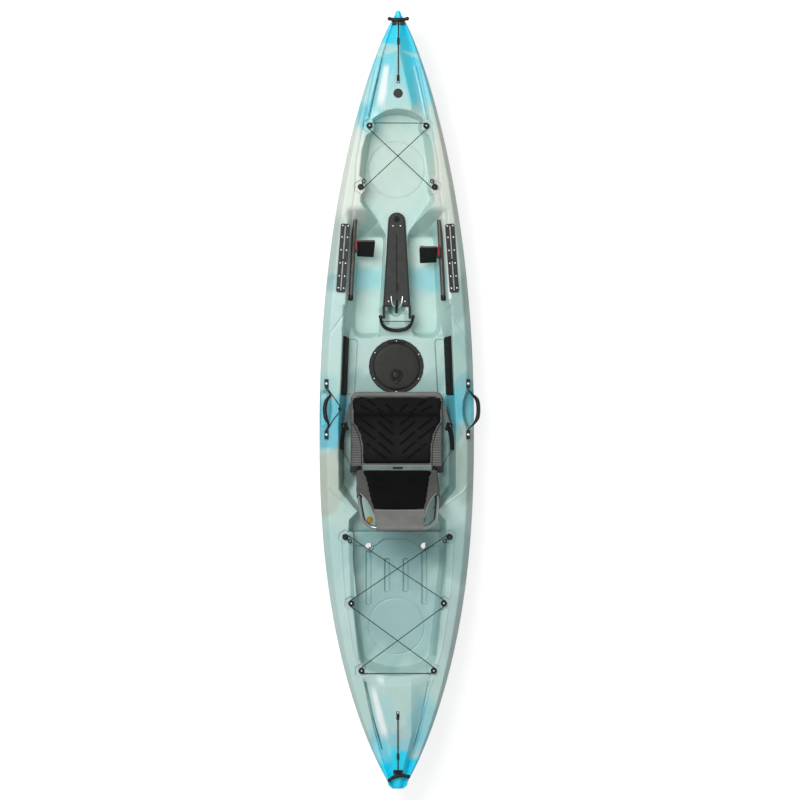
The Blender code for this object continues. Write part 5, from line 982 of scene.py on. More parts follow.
def joined(*shapes):
    """Several shapes as one."""
    points, faces, offset = [], [], 0
    for some, groups in shapes:
        points.append(some)
        faces += [group + offset for group in groups]
        offset += len(some)
    return np.vstack(points), faces


def moved(shape, matrix):
    """A shape under a 4 by 4 matrix."""
    matrix = np.array(matrix)
    return shape[0] @ matrix[:3, :3].T + matrix[:3, 3], shape[1]


def flipped(shape):
    """A shape's mirror image across the centre line."""
    return shape[0] * [-1, 1, 1], shape[1]


def piece(name, shape, finish, body, slot, *nodes, sharp=38, tint=None):
    """Makes a shape a piece: faces outward, edges sharper than an angle kept, then its finish, body and nodes.
    Its slot is not used."""
    if tint is None and finish in TINTED:
        tint = np.ones((len(shape[0]), 3))
    obj = make_mesh(name, *shape, tint=tint)
    turn_outward(obj.data, merge=True)
    obj.data.shade_smooth()
    obj.data.set_sharp_from_angle(angle=math.radians(sharp))
    obj.data.materials.append(finish)
    if body:
        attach(obj, body)
    if nodes:
        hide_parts(*nodes)
    return obj


# radius of the thin cords and of the handles' and toggles' lines, and (radius, height) pairs of a screw head
CORD = .0021
LINE = .003
SCREW = [(0, .0017), (.0006, .0017), (.0012, .0010), (.0016, .0017), (.0030, .0013), (.0040, .0004),
         (.0042, -.0006), (0, -.0006)]


def screws(places, size=1.0):
    """Pan-head screws with a sunk drive in one shape, each a profile turned about its own axis."""
    profile = np.array(SCREW) * size
    return joined(*[revolved(profile, place, 12) for place in places])


def deck_height(x, y):
    """Height of the finished deck at single points."""
    x, y = np.atleast_1d(np.asarray(x, float)), np.atleast_1d(np.asarray(y, float))
    return deck(x, y, np.zeros(x.shape))


# Seat: sling of cloth on the tubes, padded cover with sunk chevrons, gussets, straps

# half the distance between the side tubes, the cloth's radius round them and where it leaves them
SEAT_HALF = .209
SEAT_WRAP = .0126
SEAT_LEAVES = math.radians(102)
# depth of the cloth's sag, and its share by place along the seat
SAG = .022
SAG_PLACES = [-.318, -.292, -.25, -.20, -.14, -.08, -.03, .012]
SAG_SHARES = [0, 0, .6, .95, 1, 1, .8, .35]
HEM_HALF = SEAT_HALF + SEAT_WRAP * math.cos(SEAT_LEAVES)


def tube_height(y):
    """Height of the seat's side tubes, falling to the rear."""
    return mix(.200, .187, share(y, .026, -.306))


def sling_height(x, y):
    """Middle of the seat's cloth: level with the tubes' tops at the sides, sagging by a parabola between, and
    falling round the tube outside them."""
    level = tube_height(y) + SEAT_WRAP * math.sin(SEAT_LEAVES)
    sag = SAG * np.interp(y, SAG_PLACES, SAG_SHARES)
    away = np.abs(x)
    inside = level - sag * (1 - np.minimum(1, away / HEM_HALF) ** 2)
    out = np.clip(away - SEAT_HALF, 0, SEAT_WRAP * .97)
    outside = tube_height(y) + np.sqrt(SEAT_WRAP ** 2 - out ** 2)
    return np.where(away > SEAT_HALF, outside, np.minimum(inside, level))


def seat_sling():
    """Grey sling: across it the sagging middle, then an arc of 110 degrees round each side tube; along it a row
    each 2 mm, with the gussets' ribs as a sine of 12 mm pitch."""
    y = np.linspace(.012, -.318, 166)[:, None]
    middle = np.linspace(-HEM_HALF, HEM_HALF, 61)[None, :]
    turn = np.radians(np.linspace(102, -8, 12))[None, 1:]
    height = tube_height(y)
    wrap = SEAT_HALF + SEAT_WRAP * np.cos(turn)
    x = np.concatenate([-wrap[:, ::-1], middle, wrap], axis=1) + 0 * y
    arc = height + SEAT_WRAP * np.sin(turn)
    z = np.concatenate([arc[:, ::-1], sling_height(middle + 0 * y, y + 0 * middle), arc], axis=1)
    rib = np.sin(y * 2 * math.pi / .012) * share(y, -.100, -.125) * share(y, -.318, -.300)
    z = z + .0020 * rib * share(np.abs(x), .160, .175)
    centre = np.stack([x, y + 0 * x, z], axis=2)
    out = unit(np.cross(np.gradient(centre, axis=1), np.gradient(centre, axis=0)))
    out = out * np.sign(out[80, 36, 2])
    # painted shade: darker in the hollows of the gussets' ribs and where the cloth turns down round the tubes
    shade = 1 - .32 * (.5 - .5 * rib) * share(y, -.105, -.120) * share(np.abs(x), .160, .175)
    shade = shade * mix(1, .72, share(np.abs(x), SEAT_HALF + .002, SEAT_HALF + .011))
    return slab(centre + out * .0012, centre - out * .0012), np.repeat(np.tile(shade.ravel(), 2)[:, None], 3, 1)


# both ends of each channel sewn into the port half of the pad
CHEVRONS = [
    ((-.1395, -.0039), (-.1064, -.0252)), ((-.1703, -.0300), (-.1206, -.0560)),
    ((-.0922, -.0418), (-.0685, -.0607)), ((-.0495, -.0229), (-.0188, -.0536)),
    ((-.1703, -.0915), (-.1087, -.1389)), ((-.0803, -.0679), (-.0211, -.1176)),
    ((-.0851, -.1081), (-.0188, -.1649)), ((-.1774, -.1341), (-.1064, -.1886)),
    ((-.0851, -.1578), (-.0188, -.2146)), ((-.1442, -.2123), (-.1300, -.2218)),
    ((-.0851, -.2076), (-.0306, -.2549)), ((-.1135, -.2360), (-.0543, -.2833)),
]
# where the pad's front roll ends in a fold, and half width of the pad by place along it
FOLD = -.077
PAD_PLACES = [-.316, -.260, -.212, -.165, -.124, -.113, -.085, -.030, -.004, .010, .018]
PAD_HALVES = [.169, .170, .173, .185, .204, .215, .2215, .2215, .2215, .217, .208]


def seat_pad():
    """Padded cover before it is swollen: across it the outline's half width, through it a section that thins to
    its edges by the square root of one less an eighth power."""
    y = np.linspace(.018, -.314, 84)[:, None]
    u = np.linspace(-1, 1, 101)[None, :]
    half = np.interp(y, PAD_PLACES, PAD_HALVES) - .001
    x = u * half
    along = share(y, -.314, -.306) * share(y, .018, .008)
    full = (1 - u ** 8) ** .5 * np.sqrt(np.clip(along, 0, 1))
    base = sling_height(x, y + 0 * x) + .0024 + .010 * ease(share(y, .000, .018))
    over = base + .0012 + .0085 * full
    grid = np.stack([x, y + 0 * x, over], axis=2)
    under = np.stack([x, y + 0 * x, base], axis=2)
    return slab(grid, under)


def puffed(name, shape, voxel, cap):
    """A stuffed cover: voxel remesh, twenty frames of cloth under pressure with no gravity, no point moved
    more than cap, one subdivision."""
    obj = make_mesh(name, *shape)
    turn_outward(obj.data)
    remesh = obj.modifiers.new("remesh", "REMESH")
    remesh.mode = "VOXEL"
    remesh.voxel_size = voxel

    def settled():
        graph = bpy.context.evaluated_depsgraph_get()
        return bpy.data.meshes.new_from_object(obj.evaluated_get(graph))

    obj.data = settled()
    obj.modifiers.clear()
    count = len(obj.data.vertices)
    before = np.empty(count * 3, np.float32)
    obj.data.vertices.foreach_get("co", before)
    cloth = obj.modifiers.new("cloth", "CLOTH")
    cloth.settings.use_pressure = True
    cloth.settings.uniform_pressure_force = 4.0
    cloth.settings.effector_weights.gravity = 0
    cloth.point_cache.frame_start, cloth.point_cache.frame_end = 1, 20
    for frame_number in range(1, 21):
        bpy.context.scene.frame_set(frame_number)
    swollen = settled()
    after = np.empty(count * 3, np.float32)
    swollen.vertices.foreach_get("co", after)
    step = (after - before).reshape(-1, 3)
    far = np.linalg.norm(step, axis=1, keepdims=True)
    step *= np.minimum(1, cap / np.maximum(far, 1e-9))
    obj.modifiers.clear()
    obj.data.vertices.foreach_set("co", (before.reshape(-1, 3) + step).ravel())
    bpy.context.scene.frame_set(1)
    finer = obj.modifiers.new("finer", "SUBSURF")
    finer.levels = finer.render_levels = 1
    mesh = settled()
    points = np.empty(len(mesh.vertices) * 3, np.float32)
    mesh.vertices.foreach_get("co", points)
    corners = np.empty(len(mesh.loops), np.int32)
    mesh.loops.foreach_get("vertex_index", corners)
    bpy.data.objects.remove(obj)
    return points.reshape(-1, 3).astype(float), [corners.reshape(-1, 4)]


def channel(x, y, line, width):
    """Share of a sewn channel's depth at points: a bell across the line between two ends."""
    return np.exp(-(off_line(x, y, *line)[0] / width) ** 4)


def make_seat():
    """The seat's cloth and pads."""
    shape, shade = seat_sling()
    sling = piece("seat_sling", shape, GREY_CLOTH, HULL, "grey_sleeve", "seat_panel", tint=shade)
    points, faces = puffed("seat_pad", seat_pad(), .0042, .006)
    x, y, z = points.T
    raised = .010 * ease(share(y, .000, .018))
    floor = sling_height(x, y) + .0020 + raised
    middle = sling_height(x, y) + .0070 + raised
    top = z > middle
    # a fold across the pad where its front roll ends, then the sunk chevrons
    z = z + top * .004 * share(y, -.066, -.052) * share(np.abs(x), .21, .19)
    z = z - top * .007 * np.exp(-((y - FOLD) / .009) ** 2)
    sunk = np.zeros(x.shape)
    for line in CHEVRONS:
        sunk = np.maximum(sunk, channel(-np.abs(x), y, line, .0052))
    z = z - top * .0050 * sunk
    # painted shade in the sunk chevrons and the fold, a painted sheen across the middle of the seat, and darker
    # towards its rear
    fold = np.exp(-((y - FOLD) / .010) ** 2)
    dark = 1 - .72 * top * np.maximum(sunk, .8 * fold)
    dark = dark * (1 + .5 * share(y, -.10, -.17) * share(y, -.30, -.22)) * (1 - .35 * share(y, -.25, -.30))
    shape = np.stack([x, y, np.maximum(z, floor)], axis=1), faces
    pad = piece("seat_pad", shape, MESH_CLOTH, HULL, "black_mesh", "seat_cover", "seat_panel", sharp=80,
                tint=np.repeat(dark[:, None], 3, 1))
    # grey binding over the front tube, round both corners
    path = curve([(-.209, -.016, .1985), (-.209, .004, .1992), (-.2020, .0195, .200), (-.186, .026, .200),
                  (-.09, .026, .200), (0, .026, .200), (.09, .026, .200), (.186, .026, .200),
                  (.2020, .0195, .200), (.209, .004, .1992), (.209, -.016, .1985)], 7)
    along = np.arange(len(path))
    piece("seat_front_binding", swept(path, circle(20), .0134 + .0002 * np.sin(along * 1.9), dome=.2),
          BAND_CLOTH, HULL, "grey_sleeve", "seat_panel")
    # piping between the pad and the ribbed gussets
    y = np.linspace(-.110, -.313, 34)
    half = np.interp(y, PAD_PLACES, PAD_HALVES) + .0010
    line = np.stack([half, y, sling_height(half, y) + .0030], axis=1)
    piece("seat_piping", joined(tube(line, .0017, 8), tube(line * [-1, 1, 1], .0017, 8)), RUBBER, HULL,
          "black_mesh", "seat_cover", "seat_panel")


make_seat()


# the back's lean, its foot as (y, z), and half widths of its tubes and of its pad by the way s up it
BACK_LEAN = math.radians(39.5)
BACK_FOOT = (-.335, .222)
BACK_TUBE_S = [-.016, .15, .25, .375]
BACK_TUBE_X = [.1815, .186, .184, .172]
# the cloth's radius round the tubes, half its thickness and the sheet's widest half width
BACK_WRAP = .0121
HALF_CLOTH = .0009
BACK_HALF = .186
BACK_PAD_S = [.018, .08, .142, .232, .318]
BACK_PAD_HALVES = [.172, .163, .154, .144, .125]


def back_at(x, s, n):
    """Points of the seat's back: s is the way up it and n the way out of its front face."""
    return np.stack([x, BACK_FOOT[0] - s * math.sin(BACK_LEAN) + n * math.cos(BACK_LEAN),
                     BACK_FOOT[1] + s * math.cos(BACK_LEAN) + n * math.sin(BACK_LEAN)], axis=-1)


def back_sleeves():
    """Grey sleeve round one of the back's side tubes: an arc of 260 degrees about the tube's line, from s .02 to
    .20, with slack as two sines."""
    s = np.linspace(.020, .200, 60)[:, None]
    turn = np.radians(np.linspace(95, -165, 30))[None, :]
    middle = np.interp(s, BACK_TUBE_S, BACK_TUBE_X)
    slack = .0008 * np.sin(s * 210) * np.sin(turn * 2) + .0006 * np.sin(s * 95 + 1)
    radius = BACK_WRAP + .0006 + slack
    inner, outer = radius - HALF_CLOTH, radius + HALF_CLOTH
    grids = [back_at(middle + r * np.cos(turn), s + 0 * turn, r * np.sin(turn)) for r in (outer, inner)]
    return slab(*grids)


def back_sheet():
    """Grey sheet across the front of the back: its half width follows the tubes, then curves in to the band."""
    s = np.linspace(.020, .366, 90)[:, None]
    half = np.interp(s, [.020, .190, .204, .226, .249, .29, .34, .366],
                     [BACK_HALF, BACK_HALF, .176, .162, .151, .137, .124, .115])
    u = np.linspace(-1, 1, 61)[None, :]
    x = u * half
    n = BACK_WRAP + .0004 - .004 * (1 - u ** 2) * share(s, .02, .1) + .0006 * np.sin(s * 160) * u ** 4
    return slab(back_at(x, s + 0 * x, n + HALF_CLOTH), back_at(x, s + 0 * x, n - HALF_CLOTH))


def back_band():
    """Grey band over the top tube: up the front, round the tube and down behind it, as one profile."""
    turn = np.radians(np.linspace(88, -99, 26))
    radius = BACK_WRAP + .0010
    arc = np.stack([.4292 + radius * np.cos(turn), radius * np.sin(turn)], axis=1)
    front = np.stack([np.linspace(.322, .424, 14), np.linspace(radius + .0035, radius, 14)], axis=1)
    rear = np.stack([np.linspace(.420, .372, 6), np.full(6, -radius)], axis=1)
    profile = np.vstack([front, arc, rear])
    step = unit(np.gradient(profile, axis=0))
    out = np.stack([-step[:, 1], step[:, 0]], axis=1)
    out = out * np.sign(out[0, 1])
    u = np.linspace(-1, 1, 41)[None, :]
    half = mix(.120, .112, share(profile[:, :1], .33, .42))
    faces = profile + out * HALF_CLOTH, profile - out * HALF_CLOTH
    return slab(*[back_at(u * half, line[:, :1] + 0 * u, line[:, 1:] + 0 * u) for line in faces])


def back_pad():
    """Padded panel of the back before it is swollen, 9 mm thick, thinning to its edges."""
    s = np.linspace(.022, .316, 66)[:, None]
    u = np.linspace(-1, 1, 61)[None, :]
    half = np.interp(s, BACK_PAD_S, BACK_PAD_HALVES) - .002
    x = u * half
    ends = share(s, .022, .030) * share(s, .316, .308)
    full = (1 - u ** 8) ** .5 * np.sqrt(np.clip(ends, 0, 1))
    base = BACK_WRAP + .0022 - .004 * (1 - (x / BACK_HALF) ** 2) * share(s, .02, .1)
    return slab(back_at(x, s + 0 * x, base + .0010 + .0080 * full), back_at(x, s + 0 * x, base))


def make_back():
    """The back's cloth: sleeves, sheet, band, padded panel and pale piping."""
    sheet = piece("back_sheet", back_sheet(), SLEEVE_CLOTH, "seat_back", "grey_sleeve", "back_sleeve")
    sleeve = back_sleeves()
    piece("back_sleeve_right", sleeve, SLEEVE_CLOTH, "seat_back", "grey_sleeve", "back_sleeve")
    piece("back_sleeve_left", flipped(sleeve), SLEEVE_CLOTH, "seat_back", "grey_sleeve", "back_sleeve")
    piece("back_band", back_band(), BAND_CLOTH, "seat_back", "grey_sleeve", "back_sleeve")
    points, faces = puffed("back_pad", back_pad(), .005, .005)
    x = points[:, 0]
    dy, dz = points[:, 1] - BACK_FOOT[0], points[:, 2] - BACK_FOOT[1]
    s = -dy * math.sin(BACK_LEAN) + dz * math.cos(BACK_LEAN)
    n = dy * math.cos(BACK_LEAN) + dz * math.sin(BACK_LEAN)
    base = BACK_WRAP + .0018 - .004 * (1 - np.minimum(1, np.abs(x) / BACK_HALF) ** 2) * share(s, .02, .1)
    top = n > base + .004
    # wrinkles near the foot of the panel, pulled from the port side, and a seam below the band
    wave = np.sin((s - .03) * 2 * math.pi / .026 + 2.2 * x) * share(x, .10, -.08)
    n = n + top * .0016 * wave * share(s, .12, .07) * share(s, .022, .035)
    n = n - top * .003 * np.exp(-((s - .300) / .004) ** 2)
    shape = back_at(x, s, np.maximum(n, base)), faces
    pad = piece("back_pad", shape, BACK_MESH, "seat_back", "black_mesh", "back_panel", sharp=80)
    s = np.linspace(.196, .372, 40)
    half = np.interp(s, [.196, .204, .226, .249, .29, .34, .372], [.182, .176, .162, .151, .137, .124, .1145])
    line = back_at(half, s, np.full(40, BACK_WRAP + .0016))
    cord = tube(line, .0019, 8)
    band_edge = back_at(np.linspace(.121, -.121, 30), np.full(30, .3215), np.full(30, BACK_WRAP + .0066))
    hem = tube(band_edge, .0012, 8)
    piece("back_piping", joined(cord, flipped(cord), hem), PALE_CLOTH, "seat_back", "grey_sleeve", "back_sleeve")


def make_back_tube():
    """The back's bent tube: up one side, over bends of 50 mm, across the top and down the other side."""
    outline = [(-.1815, -.016), (-.186, .15), (-.184, .25), (-.172, .375), (-.134, .4292), (.134, .4292),
               (.172, .375), (.184, .25), (.186, .15), (.1815, -.016), (0, -.3)]
    bent = rounded(outline, [0, .2, .2, .05, .05, .05, .05, .2, .2, 0, 0])
    bent = bent[:np.argmin(bent[:, 1])]
    line = back_at(bent[:, 0], bent[:, 1], np.zeros(len(bent)))
    piece("back_tube", swept(line, circle(20), .0103, up=(0, .77, .64), dome=.1), TUBE, "seat_back",
          "seat_tubing", "back_frame")


make_back()
make_back_tube()


def seat_straps():
    """Shapes of the starboard strap beside the seat: a flat section carried along its route, in a grey and a
    black length, and a ladder buckle."""
    route = curve([(.2223, -.020, .198), (.229, -.050, .200), (.240, -.090, .207), (.250, -.125, .215),
                   (.259, -.160, .224), (.2645, -.195, .232), (.2660, -.240, .238)], 6)
    flat = box_outline(-.0115, -.0009, .0115, .0009, .0006)
    # swept lays the section's first axis along side; here that is the strap's width, tilted outboard
    forward = unit(np.gradient(route, axis=0))
    wide = np.array([.86, .12, .50])
    wide = unit(wide - forward * (forward @ wide)[:, None])
    thin = np.cross(wide, forward)
    rings = route[:, None] + flat[None, :, :1] * wide[:, None] + flat[None, :, 1:] * thin[:, None]
    strap, tail = walled(rings[:20]), walled(rings[19:])
    turn = Matrix(((.87, .25, .42, 0), (-.28, .96, 0, 0), (-.40, -.12, .91, 0), (0, 0, 0, 1)))
    bar = box_outline(-.0105, -.0025, .0105, .0025, .002)
    frame_part = plate(box_outline(-.0150, -.020, .0150, .020, .004),
                       [(.001, -.0035), (0, -.0025), (0, .0025), (.001, .0035)])
    bars = [moved(plate(bar, [(.0005, .003), (0, .0035), (.001, .0052)]), Matrix.Translation((0, dy, 0)))
            for dy in (-.012, 0, .012)]
    flipped_bars = [(bit[0] * [1, 1, -1], bit[1]) for bit in bars]
    buckle = moved(joined(frame_part, *bars, *flipped_bars), Matrix.Translation((.2500, -.1300, .2180)) @ turn)
    return strap, tail, buckle


def make_straps():
    """The straps beside the seat, with thin cords on to the back's pivots, and the cross strap between the seat
    and its back."""
    strap, tail, buckle = seat_straps()
    for tag, way in (("right", lambda shape: shape), ("left", flipped)):
        piece(f"strap_{tag}", way(strap), WEBBING, HULL, "grey_webbing", f"leg_strap_{tag}")
        piece(f"strap_buckle_{tag}", way(buckle), BLACK, HULL, "black_moulding", f"leg_strap_{tag}")
        piece(f"strap_tail_{tag}", way(tail), BLACK_WEBBING, HULL, "black_cord", f"leg_strap_{tag}")
        tie = curve([(.2660, -.236, .2300), (.2600, -.250, .2050), (.2440, -.275, .1900), (.2290, -.305, .1830),
                     (.2200, -.332, .1850)], 6)
        piece(f"strap_cord_{tag}", way(tube(tie, .0016, 8)), BRAID, HULL, "black_cord", f"leg_strap_{tag}")
    # cross strap between the seat and its back, a bowed ribbon with two hems and a buckle
    u = np.linspace(-1, 1, 41)[None, :]
    v = np.linspace(0, 1, 13)[:, None]
    x = u * .166 + 0 * v
    y = mix(-.3165, -.3400, v) - .003 * (1 - u ** 2) * v
    z = mix(.2115, .2190, v) + .0016 * np.sin(v * math.pi) + 0 * u
    hem = .0006 * (np.exp(-(v / .10) ** 2) + np.exp(-((1 - v) / .10) ** 2))
    ribbon = slab(np.stack([x, y, z + .0008 + hem], axis=2), np.stack([x, y, z - .0008], axis=2))
    strap = piece("cross_strap", ribbon, STRAP_CLOTH, None, "grey_sleeve", "back_sleeve")
    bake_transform(strap)
    row = np.linspace(-.166, .166, 30)
    for tag, place, height, bow in (("front", -.3172, .2130, 0), ("rear", -.3408, .2205, .003)):
        line = np.stack([row, place - bow * (1 - (row / .166) ** 2), np.full(30, height)], axis=1)
        cord = piece(f"cross_strap_hem_{tag}", tube(line, .0014, 8), PALE_CLOTH, None, "grey_sleeve",
                     "back_sleeve")
        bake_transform(cord)
    shape = plate(box_outline(-.020, -.3335, .028, -.3225, .003),
                  [(.001, .2140), (0, .2148), (0, .2190), (.0015, .2202)])
    clip = piece("cross_strap_buckle", shape, BLACK, None, "black_moulding", "back_sleeve")
    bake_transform(clip)


make_straps()

# Hatch


def make_hatch():
    """Lid, a low dome turned about its axis, with the latch knob: a raised ring, a sunk ring, a cap and a
    pointer."""
    cx, cy = HATCH
    lid = [(0, .1571), (.020, .15705), (.055, .1568), (.085, .1563), (.100, .1558), (.1065, .1553),
           (.1098, .1544), (.1112, .1528), (.1114, .1500), (.1080, .1500), (.1078, .1515), (.060, .1525),
           (0, .1525)]
    piece("hatch_cover", revolved(lid, (cx, cy, 0), 96), LID, "lid", "black_moulding", "hatch_lid")
    trim = [(.1070, .1547), (.1075, .1556), (.1083, .1558), (.1090, .1553), (.1090, .1545)]
    piece("hatch_cover_bead", ringed(trim, (cx, cy, 0), 96), BLACK, "lid", "black_moulding", "hatch_lid")
    low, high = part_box("hatch_latch")
    kx, ky = (low[0] + high[0]) / 2, low[1] + .0385
    top = high[2]
    knob = [(0, top - .0006), (.012, top - .0006), (.0150, top - .0014), (.0163, top - .0050),
            (.0190, top - .0052), (.0212, top - .0012), (.0240, top), (.0270, top - .0006),
            (.0295, top - .0040), (.0302, .1573), (0, .1573)]
    grip = box_outline(kx - .0045, ky - .011, kx + .0045, ky + .011, .003)
    bar = plate(grip, [(0, top - .002), (0, top + .0004), (.001, top + .0012)])
    tip = rounded([(kx - .0115, ky - .0280), (kx - .006, ky - .0405), (kx + .006, ky - .0405),
                   (kx + .0115, ky - .0280), (kx, ky - .024)], [.001, .003, .003, .001, .001])
    pointer = plate(tip, [(0, .1574), (0, top - .003), (.001, top - .0015)])
    piece("latch_knob", joined(revolved(knob, (kx, ky, 0), 48), bar, pointer), BLACK, "latch", "black_moulding",
          "hatch_latch")
    angle = np.radians([28, 90, 148, 209, 270, 330.5])
    places = [(cx + .1225 * math.cos(a), cy + .1225 * math.sin(a), .1553) for a in angle]
    piece("hatch_screws", screws(places, .8), STEEL, HULL, "stainless_pin")
    low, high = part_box("hatch_hinge_pin")
    axis_y, axis_z = (low[1] + high[1]) / 2, (low[2] + high[2]) / 2
    spans = [((cx + dx, axis_y, axis_z), (cx + dx + .016, axis_y, axis_z))
             for dx in (-.0400, -.0205, .0045, .0240)]
    barrels = [swept(np.linspace(a, b, 4), circle(16), .0050, dome=.3) for a, b in spans]
    piece("hatch_knuckles", joined(*barrels), LID, HULL, "black_moulding", "hatch_hinge_pin")


make_hatch()

# Console


def make_console():
    """The grip, a tube on a smile-shaped route between its two pivots, its cross cord, and on the console itself
    the hooks, screws, eyelet, slot, hole and stalk."""
    route = curve([(-.0775, .4020, .1974), (-.0765, .3850, .1910), (-.0670, .3620, .1790), (-.0430, .3440, .1690),
                   (0, .3370, .1640), (.0430, .3440, .1690), (.0670, .3620, .1790), (.0765, .3850, .1910),
                   (.0775, .4020, .1974)], 8)
    along = np.linspace(0, 1, len(route))
    middle = share(np.abs(along - .5), .30, .20)
    radius = .0066 + .0022 * ease(middle) + .0005 * np.sin(along * 260) * middle
    ends = [revolved([(0, .010), (.006, .010), (.009, .006), (.009, -.006), (.006, -.010), (0, -.010)],
                     (way * .079, .402, .1974), 20) for way in (1, -1)]
    piece("console_grip_tube", joined(swept(route, circle(18), radius), *ends), BLACK, "console_grip",
          "black_moulding", "console_handle")
    cross = np.stack([np.linspace(-.0770, .0770, 16), np.full(16, .380), np.full(16, .1890)], axis=1)
    piece("console_grip_cord", tube(cross, CORD, 8), BRAID, "console_grip", "black_cord", "console_handle")
    hooks = []
    for way in (1, -1):
        line = curve([(way * .0275, .500, .2036), (way * .0262, .486, .2052), (way * .0240, .470, .2052),
                      (way * .0195, .458, .2030), (way * .0130, .452, .1990), (way * .0085, .455, .1950)], 6)
        hooks.append(tube(line, .0026, 10))
    piece("console_hooks", joined(*hooks), STEEL, HULL, "stainless_pin")
    spots = (3.75, 224.5), (-3.75, 224.5), (8.25, 300.5), (-8.25, 300.5)
    places = [(dx * PIXEL, (400 - py) * PIXEL, .2020) for dx, py in spots]
    piece("console_screws", screws(places), STEEL, HULL, "stainless_pin")
    eye = [(.0090, .2019), (.0098, .2034), (.0120, .2036), (.0138, .2028), (.0144, .2019)]
    slot = plate(box_outline(.001, .532, .011, .562, .004), [(0, .2019), (0, .2034), (.001, .2042)])
    well = [(0, .2027), (.0122, .2027), (.0124, .2012), (0, .2012)]
    piece("console_eyelet", joined(ringed(eye, (.001, .872, 0), 28), slot), BLACK, HULL, "black_moulding")
    piece("console_hole", revolved(well, (.001, .872, 0), 28), RUBBER, HULL, "black_rubber")
    stalk = [(0, .4760, .2025), (0, .4620, .1980), (0, .4470, .1820), (0, .4330, .1640), (0, .4250, .1540)]
    piece("console_stalk", tube(curve(stalk, 5), .0062, 14), BLACK, HULL, "black_moulding")


make_console()

# Rails, pedals and pads


def make_rails():
    """Rails: accessory rails are a grooved section carried along a line, narrowed at both ends; brace rails are a
    rounded bar."""
    t = np.array([0, .004, .010, .020, .035, .25, .5, .75, .965, .980, .990, .996, 1])
    narrow = np.array([.70, .82, .92, .98, 1, 1, 1, 1, 1, .98, .92, .82, .70])
    low = np.array([(-.0222, 0), (.0222, 0), (.0222, .0072), (.0205, .0090), (.0042, .0090), (.0036, .0084),
                    (.0036, .0036), (-.0036, .0036), (-.0036, .0084), (-.0042, .0090), (-.0205, .0090),
                    (-.0222, .0072)])
    inlay = box_outline(-.0028, -.001, .0028, .001, .0004)
    arch = np.radians(np.linspace(0, 180, 13))
    bar = np.vstack([[(.0112, 0)], np.stack([.0112 * np.cos(arch), .0075 + .0125 * np.sin(arch)], axis=1),
                     [(-.0112, 0)]])
    for tag, way in SIDES:
        aft, fore = np.array([way * .2738, .5175, .2840]), np.array([way * .2502, .8475, .2988])
        line = aft + (fore - aft) * t[:, None]
        forward = unit(fore - aft)
        across = unit(np.cross(forward, [0, 0, 1.0]))
        over = np.cross(across, forward)
        rings = line[:, None] + narrow[:, None, None] * low[None, :, :1] * across + low[None, :, 1:] * over
        piece(f"accessory_rail_{tag}_track", walled(rings), TRACK, HULL, "grey_track", f"accessory_rail_{tag}",
              sharp=30)
        strips = []
        for a, b in ((.03, .455), (.49, .97)):
            bit = aft + (fore - aft) * np.linspace(a, b, 6)[:, None] + over * .0050
            strips.append(swept(bit, inlay, dome=0))
        piece(f"accessory_rail_{tag}_strip", joined(*strips), STRIP, HULL, "grey_track", f"accessory_rail_{tag}")
        places = []
        for py in (225, 236.5, 249.5, 262.5, 275.5, 287.5):
            here = aft + (fore - aft) * ((400 - py) * PIXEL - .5175) / .33
            places += [here + across * .0135 + over * .0090, here - across * .0125 + over * .0090]
        piece(f"accessory_rail_{tag}_screws", screws(places, .95), STEEL, HULL, "stainless_pin")
        line = np.stack([np.linspace(way * .2235, way * .2030, 20), np.linspace(.490, .870, 20),
                         np.full(20, .2262)], axis=1)
        piece(f"brace_rail_{tag}", swept(line, bar, dome=0), RAIL, HULL, "dark_track", f"foot_brace_rail_{tag}")
        cap_line = line[0] + (line[1] - line[0]) * np.linspace(-.35, .75, 4)[:, None]
        cap = swept(cap_line, bar * [1.08, 1.04], dome=.25)
        piece(f"brace_rail_{tag}_cap", cap, BLACK, HULL, "black_moulding", f"foot_brace_rail_{tag}")


make_rails()


def make_pedals():
    """Pedals, a tapered plate with rounded corners leaning aft on a slide block; the bar along its top edge, and
    the narrow red lever of its lock."""
    for tag, way in SIDES:
        low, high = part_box(f"foot_pedal_{tag}")
        inner, outer = (low[0], high[0]) if way > 0 else (high[0], low[0])
        fore, aft = high[1] - .010, low[1] + .012
        outline = [(inner, fore), (outer - way * .020, fore), (outer - way * .020, aft + .004),
                   (inner + way * .006, aft)]
        points, faces = plate(rounded(outline[::way], [.006] * 4),
                              [(.002, -.010), (0, -.008), (0, -.002), (.002, 0), (.0055, .0001)])
        points[:, 2] += high[2] - .006 - (fore - points[:, 1]) * .95
        block = plate(rounded([(outer - way * .0215, aft + .020), (outer - way * .001, aft + .020),
                               (outer - way * .001, fore), (outer - way * .0215, fore)][::way], [.003] * 4),
                      [(.001, .2470), (0, .2480), (0, .2540), (.001, .2550)])
        piece(f"pedal_plate_{tag}", joined((points, faces), block), BLACK, f"pedal_{tag}", "black_moulding",
              f"foot_pedal_{tag}")
        x = np.linspace(inner + way * .006, outer - way * .024, 16)
        line = np.stack([x, np.full(16, fore + .0015), np.full(16, high[2] - .0065)], axis=1)
        piece(f"pedal_bar_{tag}", tube(line, .0042, 12), STRIP_DARK, f"pedal_{tag}", "black_moulding",
              f"foot_pedal_{tag}")
        low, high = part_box(f"pedal_lock_{tag}")
        middle = (low[0] + high[0]) / 2 + way * .0035
        outline = rounded([(middle - .0042, low[1]), (middle + .0042, low[1]), (middle + .0036, high[1]),
                           (middle - .0036, high[1])], [.002] * 4)
        lever = plate(outline, [(0, low[2]), (0, high[2] - .001), (.001, high[2])])
        piece(f"lock_lever_{tag}", lever, RED, f"lock_{tag}", "red_lock", f"pedal_lock_{tag}")


make_pedals()


